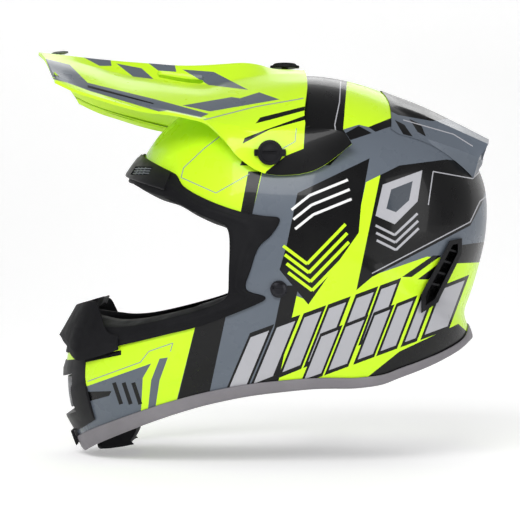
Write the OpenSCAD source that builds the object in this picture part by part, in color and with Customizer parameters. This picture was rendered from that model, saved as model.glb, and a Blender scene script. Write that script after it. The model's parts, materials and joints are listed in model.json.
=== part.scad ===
// Motocross helmet with a tilting visor, worn upright on a head.
// +X is forward, +Y is the wearer's left and +Z is up. The origin is the centre of the head.

/* [Shell] */
// Half of the shell's greatest width
half_width = 124; // [122:1:126]
// Thickness of the composite shell
shell_wall = 4; // [3:0.5:4]
// Thickness of the rubber mouldings around the openings
trim_wall = 2.2; // [1.8:0.2:2.4]

/* [Liner] */
// Half length of the hollow in the foam liner
hollow_x = 108; // [104:1:110]
// Half width of the hollow in the foam liner
hollow_y = 90; // [88:1:92]
// Height of the hollow above the head's centre
hollow_z = 96; // [92:1:98]
// Thickness of the comfort liner
comfort_wall = 9; // [6:1:10]
// Distance from the middle of the helmet to a cheek pad
cheek_y = 62; // [60:1:66]

/* [Visor] */
// Thickness of the visor
visor_wall = 2.4; // [2:0.2:2.6]
// Radius of a visor screw's head
knob_r = 10; // [9:0.5:11]
// Radius of a visor screw's shank
shank_r = 2.9; // [2.4:0.1:2.9]
// Travel of the slot around the top screw
slot_travel = 14; // [13:1:16]

/* [Chin vent] */
// Distance from one slot of the duct to the next
slot_pitch = 7; // [6:0.5:7]

/* [Strap] */
// Width of the webbing
strap_w = 25; // [22:1:25]
// Thickness of the webbing
strap_t = 1.6; // [1.2:0.2:1.8]
// Radius of the D-rings' wire
wire_r = 1.8; // [1.5:0.1:1.9]

/* [Hidden] */

squareness = 2.1;  // exponent of the shell's cross-section, 2 is an ellipse
gap = 0.4;         // clearance between layers

neon = [0.80, 1.0, 0.12];
slate = [0.36, 0.40, 0.46];
coal = [0.06, 0.06, 0.07];
foam = [0.12, 0.12, 0.13];
steel = [0.70, 0.71, 0.73];

// Side outline of the shell, with the eyeport filled in, as [x, z] from the rear round the underside.
outline = [[-138, -24], [-133, -42], [-126, -61], [-124, -68], [-129, -76], [-133, -85],
    [-115, -127], [-75, -180], [0, -222], [60, -240], [150, -215], [188, -178], [197, -157],
    [203.5, -136], [204.5, -118], [203, -98], [197, -74], [187, -44.5], [175, -10], [160, 23],
    [150, 45], [137, 68], [127, 82.5], [110, 98], [82, 114], [50, 125], [22, 130.5], [0, 131.5],
    [-23, 128.5], [-50, 121], [-74, 111], [-100, 98], [-122, 80], [-136, 58], [-143, 39],
    [-144.5, 24], [-144, 6]];

// Eyeport rubber as [inner azimuth, inner elevation, outer azimuth, outer elevation] in degrees,
// from the middle of the brow round the wearer's left to the middle of the chin bar.
eyeport = [[0, 16, 0, 26], [10, 15.8, 9, 25], [20, 14.2, 18, 22.6], [30, 12, 28, 20.5],
    [38, 10.6, 37, 18.8], [45, 7.7, 42, 14.8], [52, 5, 52, 10.6], [57, 3.4, 63, 7.2],
    [59.3, 1.5, 71, 5.8], [60.2, -1, 77, 4.8], [60.5, -4, 74.5, -0.5], [60.6, -8, 70, -5],
    [60.6, -12, 67.5, -12], [60.6, -16, 66, -18], [60.2, -18.8, 72, -20.8],
    [58.5, -20.6, 70, -22.6], [54, -21.8, 60, -25.1], [48, -22.5, 51, -26.4],
    [40, -22.9, 42, -26.6], [32, -22.8, 33, -26.6], [25, -22, 26, -26.4], [18, -20.5, 18, -26],
    [9, -19, 9, -25.6], [0, -18.5, 0, -25.5]];

// Elevation of the lower rim against azimuth, for the wearer's left.
rim = [[-20, -43.1], [0, -43.4], [9, -43.1], [16, -42.9], [25, -43.1], [36, -43.7], [47, -44.6],
    [58, -45.7], [74, -47.1], [88, -48], [103, -48.4], [110, -48], [118, -46.9], [125, -44.8],
    [133, -42.5], [141, -40], [152, -36], [160, -33.2], [170, -32.4], [180, -32.4], [190, -32.4]];

// Elevation of the foam liner's lower edge against azimuth.
eps_edge = [[-20, 19], [0, 20], [20, 18], [38, 14.5], [50, 10], [60, 7], [66, 3], [72, -3], [80, -8],
    [88, -14], [95, -24], [105, -34], [120, -38], [135, -31], [150, -26], [165, -22], [180, -21],
    [190, -21]];

// Rails of the visor from its front edge to its rear edge, from the spine out to the lower edge of
// the wing. All have the same number of points, so that they join into a surface.
visor_rails = [
    [[227, 0, 151.6], [205, 0, 148.8], [185, 0, 146.4], [160, 0, 143.8], [135, 0, 141.8],
        [112, 0, 140.2], [92, 0, 140.4], [75, 0, 141.6], [58, 0, 142.8], [45, 0, 141],
        [34, 0, 137.6], [20, 0, 136.8], [7, 0, 136]],
    [[226, 14, 150.6], [204, 15, 148.2], [184, 16, 145.8], [159, 17, 143.2], [134, 18, 141.2],
        [111, 19, 139.4], [91, 20, 139.4], [74, 20, 140.4], [57, 20, 141.4], [44, 20, 139.8],
        [33, 20, 136.6], [19, 20, 135.8], [7, 20, 135.2]],
    [[222, 26, 147.6], [202, 27, 143.2], [182, 28, 137.8], [157, 30, 131], [132, 32, 126.8],
        [108, 33, 123.6], [88, 35, 122], [71, 36, 124], [55, 37, 127], [42, 38, 129],
        [31, 39, 129.8], [18, 40, 130.2], [6, 41, 129.8]],
    [[215, 50, 140], [197, 52, 133.5], [178, 53, 128], [154, 55, 121.5], [130, 58, 116.8],
        [108, 61, 112.8], [89, 64, 110], [73, 67, 109], [58, 69, 110], [45, 71, 111.8],
        [33, 72, 113.8], [20, 73, 115.8], [6, 74, 116.8]],
    [[208, 72, 129], [192, 74, 121.5], [174, 76, 116], [152, 79, 110.5], [130, 82, 105.5],
        [110, 85, 100.8], [93, 88, 97], [78, 92, 94], [64, 97, 91], [51, 101, 89.5],
        [38, 103, 90], [24, 103, 92.5], [9, 102, 93.5]],
    [[205.5, 80, 124.5], [190, 82, 117], [172, 84, 110.5], [151, 87, 104.5], [131, 90, 99.5],
        [112, 93, 95.5], [96, 96, 92], [82, 100, 88.5], [68, 106, 84], [54, 111, 80],
        [40, 113.5, 79], [24, 113.5, 80], [8, 112.5, 80.5]],
    [[204, 84, 122], [188, 86, 114.5], [170, 89, 108], [150, 92, 101.5], [130, 94.5, 97],
        [112, 96.5, 94.2], [97, 99, 91], [83, 103, 87], [70, 110, 78], [56, 116, 69],
        [38, 117.8, 64.5], [10, 117.8, 67], [-18, 115, 78]],
    [[203, 88, 119.4], [186, 91, 111.5], [168, 93.5, 105.8], [149, 95.5, 100], [130, 97, 95.2],
        [113, 98.5, 93.6], [98, 101, 90.4], [85, 105, 86], [72, 113, 73], [58, 117.6, 56],
        [36, 118.9, 44.5], [2, 120.6, 47.5], [-27, 116, 68]]];

pivot = [35.7, 61];         // x and z of the visor's tilting axis
pivot_y = 118.2;            // y of the wing's outer face at the axis
top_screw = [22.7, 137.2];  // x and z of the visor's top face at the top screw
rivet = [29, -43];          // x and z of the strap rivets
strap_x = 31;               // x of the middle of the webbing
strap_low = -113;           // height of the webbing under the chin
buckle_y = 40;              // y of the D-rings' straight bars

// ---------- curves and surfaces ----------

function slope(t, i) = let (a = t[max(i - 1, 0)], b = t[min(i + 1, len(t) - 1)])
    (b[1] - a[1]) / (b[0] - a[0]);
function span(t, x, i = 0) = i >= len(t) - 2 || x < t[i + 1][0] ? i : span(t, x, i + 1);
// Smooth curve through the rows [x, value] of t.
function along(t, x) = let (i = span(t, x), a = t[i], b = t[i + 1], h = b[0] - a[0],
        s = (x - a[0]) / h)
    (2 * s ^ 3 - 3 * s ^ 2 + 1) * a[1] + (s ^ 3 - 2 * s ^ 2 + s) * h * slope(t, i)
    + (3 * s ^ 2 - 2 * s ^ 3) * b[1] + (s ^ 3 - s ^ 2) * h * slope(t, i + 1);
function mix(a, b, s) = a + (b - a) * s;

// The outline as [bearing, distance] in rising order, repeated past each end so that it closes.
polar = [for (p = outline) [atan2(p[1], p[0]), norm(p)]];
n_polar = len(polar);
reach_table = concat(
    [for (i = [n_polar - 2, n_polar - 1]) [polar[i][0] - 360, polar[i][1]]],
    polar,
    [for (i = [0, 1]) [polar[i][0] + 360, polar[i][1]]]);
function bearing_reach(t) = along(reach_table, t);

function toward(az, el) = [cos(el) * cos(az), cos(el) * sin(az), sin(el)];
// Point of the shell's surface, moved out by off, at an azimuth and elevation from the origin.
function skin(az, el, off = 0) = let (d = toward(az, el), r = norm([d[0], d[2]]),
        out = bearing_reach(atan2(d[2], d[0])) + off)
    d * ((r / out) ^ squareness + (abs(d[1]) / (half_width + off)) ^ squareness)
        ^ (-1 / squareness);
// Y of the shell's side at x and z.
function side_y(x, z, off = 0) = let (out = bearing_reach(atan2(z, x)) + off)
    (half_width + off) * max(0, 1 - (norm([x, z]) / out) ^ squareness) ^ (1 / squareness);
// Point of the foam liner's hollow, moved in by inset.
function hollow(az, el, inset = 0) = let (d = toward(az, el),
        a = hollow_x - inset, b = hollow_y - inset, c = (d[2] < 0 ? 1.8 : 1) * (hollow_z - inset))
    d * ((abs(d[0]) / a) ^ 2.2 + (abs(d[1]) / b) ^ 2.2 + (abs(d[2]) / c) ^ 2.2) ^ (-1 / 2.2);
function rim_el(az) = along(rim, az > 180 ? 360 - az : abs(az));
function eps_el(az) = along(eps_edge, az > 180 ? 360 - az : abs(az));

function total(v) = [for (p = v) 1] * v;
function loop_normal(r) = total([for (i = [0:len(r) - 1]) cross(r[i], r[(i + 1) % len(r)])]);
function centre(r) = total(r) / len(r);
function backward(v) = [for (i = [len(v) - 1:-1:0]) v[i]];
// Rings in the order in which their faces point outward.
function outward(rings) =
    loop_normal(rings[0]) * (centre(rings[1]) - centre(rings[0])) > 0 ? backward(rings) : rings;

// Closed solid through rings that have the same number of points.
module loft(rings) {
    n = len(rings[0]);
    m = len(rings);
    sides = [for (i = [0:m - 2], j = [0:n - 1]) each let (k = (j + 1) % n)
        [[i * n + j, i * n + k, (i + 1) * n + k], [i * n + j, (i + 1) * n + k, (i + 1) * n + j]]];
    polyhedron([for (r = outward(rings)) each r],
        concat([[for (j = [n - 1:-1:0]) j]], sides, [[for (j = [0:n - 1]) (m - 1) * n + j]]));
}

// Closed band: a section that goes round a loop of stations.
module hoop(rings) {
    n = len(rings[0]);
    m = len(rings);
    polyhedron([for (r = outward(rings)) each r],
        [for (i = [0:m - 1], j = [0:n - 1]) each let (k = (j + 1) % n, q = (i + 1) % m)
            [[i * n + j, i * n + k, q * n + k], [i * n + j, q * n + k, q * n + j]]]);
}

// Runs the booleans of a sculpted node on its facets, and keeps its size.
module sculpted() {
    resize([0, 0, 0]) children();
}

module both_sides() {
    children();
    mirror([0, 1, 0]) children();
}

// Block of the shell's wall between two azimuths, two elevations and two offsets.
module patch(az, el, off, n = 8, m = 4) {
    loft([for (i = [0:n]) let (a = mix(az[0], az[1], i / n)) concat(
        [for (j = [0:m]) skin(a, mix(el[0], el[1], j / m), off[0])],
        [for (j = [m:-1:0]) skin(a, mix(el[0], el[1], j / m), off[1])])]);
}

// Webbing along a path of [y, z] points across the helmet.
module webbing(path, x, w = strap_w, t = strap_t) {
    side = [for (i = [0:len(path) - 1]) let (a = path[max(i - 1, 0)],
            b = path[min(i + 1, len(path) - 1)], d = (b - a) / norm(b - a))
        [-d[1], d[0]] * t / 2];
    edge = concat([for (i = [0:len(path) - 1]) path[i] + side[i]],
        [for (i = [len(path) - 1:-1:0]) path[i] - side[i]]);
    translate([x - w / 2, 0, 0]) rotate([90, 0, 90]) linear_extrude(w) polygon(edge);
}

// ---------- shell ----------

function bowl(outer, inner, rows, n) = concat(
    [for (u = rows) [for (j = [0:n - 1]) outer(360 * j / n, u)]],
    [for (i = [len(rows) - 1:-1:0]) [for (j = [0:n - 1]) inner(360 * j / n, rows[i])]]);

crown_el = 87;  // the last ring of a dome lies this high, and a small flat closes it
shell_rows = [1, 0.9, 0.8, 0.7, 0.6, 0.5, 0.41, 0.33, 0.26, 0.2, 0.15, 0.11, 0.08, 0.05, 0.02, 0];
shell_lift = 1;  // the shell ends this many degrees above the rim, inside the rubber edging

shell_n = 64;    // stations round the shell
function on_shell(a, u, off) = skin(a, mix(rim_el(a) + shell_lift, crown_el, u), off);
module shell_cup() {
    loft(bowl(function (a, u) on_shell(a, u, 0), function (a, u) on_shell(a, u, -shell_wall),
        shell_rows, shell_n));
}
// All that lies under the shell's surface, moved out by off.
module shell_core(off) {
    loft([for (u = shell_rows) [for (j = [0:shell_n - 1]) on_shell(360 * j / shell_n, u, off)]]);
}

// Eyeport loop at a share s of the way from the rubber's inner edge to its outer edge.
function half_loop(s) = let (p = [for (e = eyeport) [mix(e[0], e[2], s), mix(e[1], e[3], s)]])
    [for (i = [0:0.5:len(p) - 1]) (p[floor(i)] + p[ceil(i)]) / 2];
function full_loop(s) = let (h = half_loop(s), n = len(h))
    concat(h, [for (i = [n - 2:-1:1]) [-h[i][0], h[i][1]]]);

module eyeport_cutter(s) {
    loop = full_loop(s);
    loft([[for (p = loop) skin(p[0], p[1]) * 0.6], [for (p = loop) skin(p[0], p[1]) * 1.2]]);
}

vent_az = [-14.5, 14.5];
vent_el = [-37.4, -28];
module vent_hole() {
    patch(vent_az, vent_el, [-40, 20]);
}

// Slot of a rear exhaust on the wearer's left, as [x, z], grown on all sides and running from y0 to y1.
exhaust_top = [-112, -8];
exhaust_end = [-86, -54];
exhaust_w = 7;
module exhaust_prism(grow, y0, y1) {
    d = (exhaust_end - exhaust_top) / norm(exhaust_end - exhaust_top);
    s = [-d[1], d[0]] * exhaust_w / 2;
    translate([0, y1, 0]) rotate([90, 0, 0]) linear_extrude(y1 - y0) offset(delta = grow)
        polygon([exhaust_top, exhaust_top + s + d * 3, exhaust_end + s - d * 4, exhaust_end + d * 2,
            exhaust_end - s * 1.4 - d * 6, exhaust_top - s + d * 6]);
}

module pivot_hole(r, y0, y1) {
    translate([pivot[0], y1, pivot[1]]) rotate([90, 0, 0]) cylinder(r = r, h = y1 - y0, $fn = 48);
}

module top_hole(r, z0, z1) {
    translate([top_screw[0], 0, z0]) cylinder(r = r, h = z1 - z0, $fn = 48);
}

module outer_shell() {
    color(neon) sculpted() difference() {
        shell_cup();
        eyeport_cutter(0.3);
        vent_hole();
        both_sides() {
            exhaust_prism(2.9, 60, 110);
            pivot_hole(6.5, 90, 130);
            translate([rivet[0], 130, rivet[1]]) rotate([90, 0, 0]) cylinder(r = 3.6, h = 40, $fn = 32);
        }
        top_hole(6.5, 110, 140);
    }
}

// Rails of the spoiler on the wearer's left: the top edge, the fin's upper edge, its lower edge and
// the trailing edge under it.
spoiler_rails = [
    [[-56, 0, 119.6], [-82, 0, 109.2], [-112, 0, 95], [-143.5, 0, 78.5]],
    [[-56, 26, 117.6], [-82, 30, 106.6], [-112, 32, 92], [-143, 34, 76]],
    [[-60, 54, 105], [-84, 57, 96], [-110, 58, 84.5], [-139.5, 56, 71.5]],
    [[-58, 84, 80], [-82, 79, 76], [-106, 74, 69], [-131, 64, 60.5]]];
spoiler_depth = 16;  // the spoiler reaches this far in, and what lies under the shell is cut off

module rear_spoiler() {
    half = [for (i = [0:3]) [for (r = spoiler_rails) r[i]]];
    rings = [for (h = half) let (top = concat([for (k = [3:-1:1]) [h[k][0], -h[k][1], h[k][2]]], h))
        concat(top, [for (k = [6:-1:0]) let (p = top[k]) [p[0] + 4, p[1] * 0.86, p[2] - spoiler_depth]])];
    color(slate) sculpted() difference() {
        loft(rings);
        shell_core(gap);
        both_sides() translate([-133, 50, 62]) rotate([0, 0, 25]) cube([14, 8, 5], center = true);
    }
}

module spoiler_vent_grilles() {
    color(coal) both_sides() translate([-129.9, 51.5, 62]) rotate([0, 0, 25]) difference() {
        cube([6.6, 7, 4], center = true);
        for (i = [-1, 1]) translate([i * 1.7, 0, 0]) cube([1.6, 5, 6], center = true);
    }
}

// ---------- rubber and plastic mouldings ----------

module eyeport_trim() {
    outer = full_loop(1);
    middle = full_loop(0.6);
    cut = full_loop(0.2);
    inner = full_loop(0);
    on = function (p, off) skin(p[0], p[1], off);
    color(coal) hoop([for (i = [0:len(inner) - 1]) [
        on(outer[i], 0.8), on(outer[i], trim_wall), on(middle[i], trim_wall + 0.2),
        on(inner[i], trim_wall + 0.4), on(inner[i], -13), on(cut[i], -13),
        on(cut[i], 0.8), on(middle[i], 0.8)]]);
}

module base_trim() {
    color(slate) hoop([for (i = [0:shell_n - 1]) let (a = 360 * i / shell_n, e = rim_el(a)) [
        skin(a, e + 2.6, trim_wall), skin(a, e + 0.3, trim_wall + 0.3), skin(a, e - 0.2, -1.5),
        skin(a, e + 0.3, -shell_wall - 2.6), skin(a, e + 2.2, -shell_wall - 2.2),
        skin(a, e + 2.2, -shell_wall - 1.2), skin(a, e + 0.8, -shell_wall - 1.2),
        skin(a, e + 0.8, 1.1), skin(a, e + 2.6, 1.1)]]);
}

module base_trim_clip() {
    color(coal) patch([-5, 5], [-41.6, -39], [2.9, 5.4], 4, 2);
}

brow_az = 36;
// The brow moulding stands on the rubber, as a hood over two intakes.
function brow_top(a) = 25.4 - 6.2 * (abs(a) / brow_az) ^ 1.6;
function brow_low(a) = 17.4 - 4.4 * (abs(a) / brow_az) ^ 1.6;
module brow_vent() {
    n = 24;
    color(coal) sculpted() difference() {
        loft([for (i = [0:n]) let (a = mix(-brow_az, brow_az, i / n), t = brow_top(a), l = brow_low(a),
                lip = 6.2 - 1.2 * (abs(a) / brow_az) ^ 2) [
            skin(a, t, trim_wall + 0.7), skin(a, t - 0.4, trim_wall + 1.4),
            skin(a, mix(t, l, 0.5), lip - 0.6), skin(a, l + 0.8, lip),
            skin(a, l, lip - 1), skin(a, l, trim_wall + 0.8)]]);
        both_sides() patch([14.2, 26.8], [17.5, 20.3], [trim_wall + 1.5, 14], 1, 1);
    }
}

module brow_vent_mesh() {
    color(slate) both_sides() patch([15.4, 25.8], [17.9, 19.9], [trim_wall + 2.3, trim_wall + 2.9], 2, 1);
}

// Nose guard: elevation of its lower edge and of its crest against azimuth.
guard_low = [[-10, -23.6], [0, -22.4], [10, -23.8], [15, -26], [19, -27.2], [30, -27], [34, -26]];
guard_top = [[-10, -16.3], [0, -16.2], [8, -16.2], [14, -17], [20, -19.4], [26, -22], [34, -24.6]];
guard_back = [[-10, -25], [0, -25], [10, -21], [20, -15], [23, 3], [34, 3]];  // reach into the opening
trim_brink = [for (i = [23:-1:17]) [eyeport[i][0], eyeport[i][1]]];
module nose_guard() {
    n = 20;
    half = 30;
    seat = trim_wall + 1.6;
    color(coal) loft([for (i = [0:n]) let (a = mix(-half, half, i / n), b = abs(a),
            low = along(guard_low, b), top = along(guard_top, b), deep = min(seat, along(guard_back, b)),
            under = b < 21.5 ? max(top - 2, along(trim_brink, b) + 0.6) : top - 0.8) [
        skin(a, low, seat), skin(a, low, seat + 2), skin(a, mix(low, top, 0.55), seat + 2.4),
        skin(a, top, seat + 0.6), skin(a, top, deep - 0.1), skin(a, under, deep - 0.1),
        skin(a, under, seat), skin(a, mix(low, under, 0.5), seat)]]);
}

// Chin vent: a fascia on the shell with a duct behind it, closed off by a slotted wall.
fascia_az = 18.5;
duct_wall = 1.4;
vent_wall_x = 178.4;      // x of the front of the slotted wall
vent_z = -112;            // height of the middle slot
module duct(shrink, off) {
    patch(vent_az + [1, -1] * shrink, vent_el + [0.8, -0.8] * shrink, off);
}
module vent_slots(x, rows) {
    for (i = rows) translate([x, 0, vent_z + i * slot_pitch]) cube([6, 62, slot_pitch / 2], center = true);
}
module chin_vent_housing() {
    color(coal) sculpted() difference() {
        union() {
            n = 12;
            loft([for (i = [0:n]) let (a = mix(-fascia_az, fascia_az, i / n),
                    s = (abs(a) / fascia_az) ^ 2, top = mix(-26.8, -27.2, s), low = mix(-39.6, -38.8, s)) [
                skin(a, low, 0.8), skin(a, low + 0.5, 1.8), skin(a, -34, mix(5.2, 2.6, s)),
                skin(a, -31.6, mix(5.2, 2.4, s)), skin(a, -31.2, mix(3, 2, s)),
                skin(a, -28, mix(3, 1.8, s)),
                each [for (e = [top:-2.3:-38.5]) skin(a, e, 0.8)]]]);
            duct(0.5, [-34, 1]);
        }
        difference() {
            duct(duct_wall + 0.3, [-40, 12]);
            translate([vent_wall_x - 2, -50, -150]) cube([2, 100, 80]);
            both_sides() translate([vent_wall_x - 7, 34, -150]) cube([1.8, 20, 80]);
        }
        vent_slots(vent_wall_x - 1, [-1:1]);
        translate([150, -60, -150]) cube([vent_wall_x - 7 - 150, 120, 80]);
    }
}

module chin_vent_mesh() {
    az = vent_az + [2.2, -2.2];
    el = vent_el + [1.9, -1.9];
    bars = 9;
    color(steel) sculpted() union() {
        for (i = [0:bars]) let (a = mix(az[0], az[1] - 0.5, i / bars))
            patch([a, a + 0.5], [el[0] + 0.1, el[1] - 0.1], [-3, -2], 1, 2);
        for (j = [0:3]) let (e = mix(el[0], el[1] - 0.45, j / 3))
            patch(az + [-0.1, 0.1], [e, e + 0.45], [-3.3, -1.7], 5, 1);
    }
}

// The shutter slides up behind the slotted wall, and its tab reaches the rider's side.
shutter_x = vent_wall_x - 4.6;
module chin_vent_shutter() {
    color(coal) difference() {
        translate([shutter_x, -36, vent_z - slot_pitch * 1.5 - 2]) cube([2, 72, slot_pitch * 2.3 + 2]);
        vent_slots(shutter_x + 1, [-1:0]);
    }
}

module chin_vent_lever() {
    color(slate) translate([shutter_x, 0, vent_z - slot_pitch / 2]) {
        translate([-9, -2.5, -1.4]) cube([9, 5, 2.8]);
        translate([-12, -8, -4]) cube([3, 16, 8]);
    }
}

module chin_curtain() {
    color(coal) translate([0, 22, 0]) rotate([90, 0, 0]) linear_extrude(44)
        polygon([[168, -158], [177, -169], [177.6, -176], [151, -173], [143, -161], [150, -152],
            [160, -150]]);
}

module rear_exhaust() {
    color(coal) sculpted() difference() {
        union() {
            intersection() {
                exhaust_prism(5, 60, 120);
                patch([118, 158], [-31, 5], [1.9, 3.6], 10, 8);
            }
            intersection() {
                exhaust_prism(2.4, 60, 120);
                patch([118, 158], [-31, 5], [-3.4, 2.2], 10, 8);
            }
        }
        exhaust_prism(0, 50, 130);
    }
}
module rear_exhaust_left() {
    rear_exhaust();
}
module rear_exhaust_right() {
    mirror([0, 1, 0]) rear_exhaust();
}

// ---------- liner ----------

dome_rows = [1, 0.85, 0.7, 0.55, 0.4, 0.27, 0.16, 0.07, 0.03, 0];
dome_n = 48;
module eps_liner() {
    lower = function (a) eps_el(a);
    color(foam) sculpted() difference() {
        loft(bowl(function (a, u) skin(a, mix(lower(a), crown_el, u), -shell_wall - 2.9),
            function (a, u) hollow(a, mix(lower(a), crown_el, u)), dome_rows, dome_n));
        both_sides() pivot_hole(10, 92, 130);
        top_hole(10, 113, 140);
    }
}

module comfort_liner() {
    lower = function (a) eps_el(a) + 1.5;
    color(coal) loft(bowl(function (a, u) hollow(a, mix(lower(a), crown_el, u), 1.2),
        function (a, u) hollow(a, mix(lower(a), crown_el, u), comfort_wall), dome_rows, dome_n));
}

module chin_eps() {
    color(foam) both_sides() patch([17.5, 29.5], [-40, -29], [-26, -shell_wall - 1.2], 6, 3);
}

module neck_roll() {
    n = 18;
    color(coal) loft([for (i = [0:n]) let (a = mix(112, 248, i / n), lo = rim_el(a) + 3.2,
            hi = eps_el(a) - 1.2, mid = (lo + hi) / 2, inn = norm(hollow(a, mid, comfort_wall)))
        [skin(a, lo, -9), skin(a, mid, -8), skin(a, hi, -9),
            toward(a, hi) * (inn + 5), toward(a, mid) * inn, toward(a, lo) * (inn + 5)]]);
}

// Cheek pads: the plate lies on the shell's side of the foam.
pad_az = [31, 91];
function pad_low(a) = rim_el(a) + 3.4 + 5 * exp(-((a - 75) / 12) ^ 2);
function pad_top(a) = min(eps_el(a) - 1.6, -6, -25 + 3.8 * max(0, a - 63.5));
module cheek_block(out_off, in_off, fat) {
    n = 16;
    m = 5;
    loft([for (i = [0:n]) let (a = mix(pad_az[0], pad_az[1], i / n)) concat(
        [for (j = [0:m]) skin(a, mix(pad_low(a), pad_top(a), j / m), out_off)],
        [for (j = [m:-1:0]) let (e = mix(pad_low(a), pad_top(a), j / m), p = skin(a, e, in_off),
                face = cheek_y + 6 * (2 * j / m - 1) ^ 2)
            fat ? toward(a, e) * min(norm(p), face / (cos(e) * sin(a))) : p])]);
}
module cheek_pad_left() {
    color(coal) cheek_block(-12, -18, true);
}
module cheek_pad_right() {
    mirror([0, 1, 0]) cheek_pad_left();
}
module cheek_pad_plate_left() {
    color(slate) sculpted() cheek_block(-9.6, -11.6, false);
}
module cheek_pad_plate_right() {
    mirror([0, 1, 0]) cheek_pad_plate_left();
}

// Snaps between the plates and the shell, square to the shell's side.
module pad_snaps() {
    color(steel) both_sides() for (s = [[100, -92], [55, -88], [4, -60]]) let (x = s[0], z = s[1],
            d = [side_y(x - 1, z) - side_y(x + 1, z), 2, side_y(x, z - 1) - side_y(x, z + 1)])
        translate([x, side_y(x, z), z]) rotate([0, acos(d[2] / norm(d)), atan2(d[1], d[0])])
            translate([0, 0, -9.1]) cylinder(r = 4, h = 4.2, $fn = 32);
}

// ---------- chin strap ----------

module strap_rivets() {
    y = side_y(rivet[0], rivet[1]);
    color(coal) both_sides() translate([rivet[0], y, rivet[1]]) rotate([-90, 0, 0]) {
        translate([0, 0, 0.5]) cylinder(r = 6.6, h = 1.6, $fn = 48);
        translate([0, 0, 2.1]) cylinder(r1 = 5.4, r2 = 3.6, h = 1.2, $fn = 48);
        translate([0, 0, -8.6]) cylinder(r = 3.2, h = 9.2, $fn = 32);
    }
}

anchor_y = side_y(rivet[0], rivet[1]) - shell_wall - 2.8;
module strap_anchor() {
    color(steel) difference() {
        translate([rivet[0] - 14, anchor_y - 1.2, rivet[1] - 13]) cube([30, 1.2, 21]);
        translate([rivet[0], anchor_y + 2, rivet[1]]) rotate([90, 0, 0]) cylinder(r = 3.3, h = 6, $fn = 32);
        translate([strap_x - 13, anchor_y - 2, rivet[1] - 11]) cube([26, 4, 3]);
    }
}
module strap_anchor_left() {
    strap_anchor();
}
module strap_anchor_right() {
    mirror([0, 1, 0]) strap_anchor();
}

// Path of the webbing from the anchor down to the side of the chin, as [y, z].
down_path = [[anchor_y - 2.4, rivet[1] - 14], [anchor_y - 2.6, -70], [anchor_y - 5.2, -90],
    [anchor_y - 10, -98], [anchor_y - 19, -104], [anchor_y - 32, -108.6], [anchor_y - 46, -111.2]];

module chin_strap_left() {
    color(coal) {
        webbing(concat(down_path, [[buckle_y + 14, strap_low + 0.4], [buckle_y + 5.5, strap_low]]),
            strap_x);
        translate([strap_x - strap_w / 2, buckle_y, strap_low]) rotate([90, 0, 90]) difference() {
            linear_extrude(strap_w) hull() {
                translate([0, 2.3]) circle(r = wire_r + 2, $fn = 24);
                translate([0, -2.3]) circle(r = wire_r + 2, $fn = 24);
                translate([5.5, 0]) circle(r = 0.8, $fn = 24);
            }
            translate([0, 0, -1]) linear_extrude(strap_w + 2) hull() {
                translate([0, 2.3]) circle(r = wire_r + 0.2, $fn = 24);
                translate([0, -2.3]) circle(r = wire_r + 0.2, $fn = 24);
            }
        }
    }
}

tail_bend = buckle_y - 13;
module chin_strap_right() {
    rest = [[-buckle_y - 14, strap_low + 3.4], [-buckle_y, strap_low + 4],
        [-buckle_y + 20, strap_low + 6.5], [0, strap_low + 9], [tail_bend - 8, strap_low + 9],
        [tail_bend - 2.5, strap_low + 7.6], [tail_bend, strap_low + 4.4], [tail_bend, strap_low + 3.05]];
    color(coal) webbing(concat([for (p = down_path) [-p[0], p[1]]], rest), strap_x);
}

module strap_tail() {
    color(coal) webbing([[tail_bend, strap_low + 3], [tail_bend, strap_low - 3],
        [tail_bend - 2.5, strap_low - 7.6], [tail_bend - 8, strap_low - 9], [0, strap_low - 7.5],
        [-24, strap_low - 2], [-56, strap_low - 2]], strap_x);
}

// D-ring in its own plane: a straight bar along x and a bow towards the middle of the helmet.
module d_ring() {
    half = strap_w / 2 + wire_r + 0.8;
    flat = 11;
    rotate([0, 90, 0]) translate([0, 0, -half]) cylinder(r = wire_r, h = 2 * half, $fn = 24);
    for (s = [-1, 1]) translate([s * half, 0, 0]) {
        sphere(r = wire_r, $fn = 24);
        rotate([90, 0, 0]) cylinder(r = wire_r, h = flat, $fn = 24);
    }
    translate([0, -flat, 0]) rotate([0, 0, 180]) rotate_extrude(angle = 180, $fn = 48)
        translate([half, 0]) circle(r = wire_r, $fn = 24);
}
module d_ring_inner() {
    color(steel) translate([strap_x, buckle_y, strap_low + 2.3]) d_ring();
}
module d_ring_outer() {
    color(steel) translate([strap_x, buckle_y, strap_low - 2.3]) d_ring();
}

snap_y = -44;
module strap_snap_stud() {
    color(coal) translate([strap_x, snap_y, strap_low]) {
        translate([0, 0, 1.7]) cylinder(r = 5, h = 1.1, $fn = 32);
        translate([0, 0, -0.1]) cylinder(r = 2.2, h = 2, $fn = 32);
    }
}
module strap_snap_socket() {
    color(coal) translate([strap_x, snap_y, strap_low - 1.1]) difference() {
        cylinder(r = 5.6, h = 2.2, $fn = 32);
        translate([0, 0, 0.6]) cylinder(r = 2.5, h = 4, $fn = 32);
    }
}

// ---------- visor ----------

// Normal of the surface through rows of points, by differences.
function face_normal(g, i, j) = let (
        a = g[max(i - 1, 0)][j], b = g[min(i + 1, len(g) - 1)][j],
        c = g[i][max(j - 1, 0)], d = g[i][min(j + 1, len(g[0]) - 1)],
        n = cross(b - a, d - c)) n / norm(n);

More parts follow.
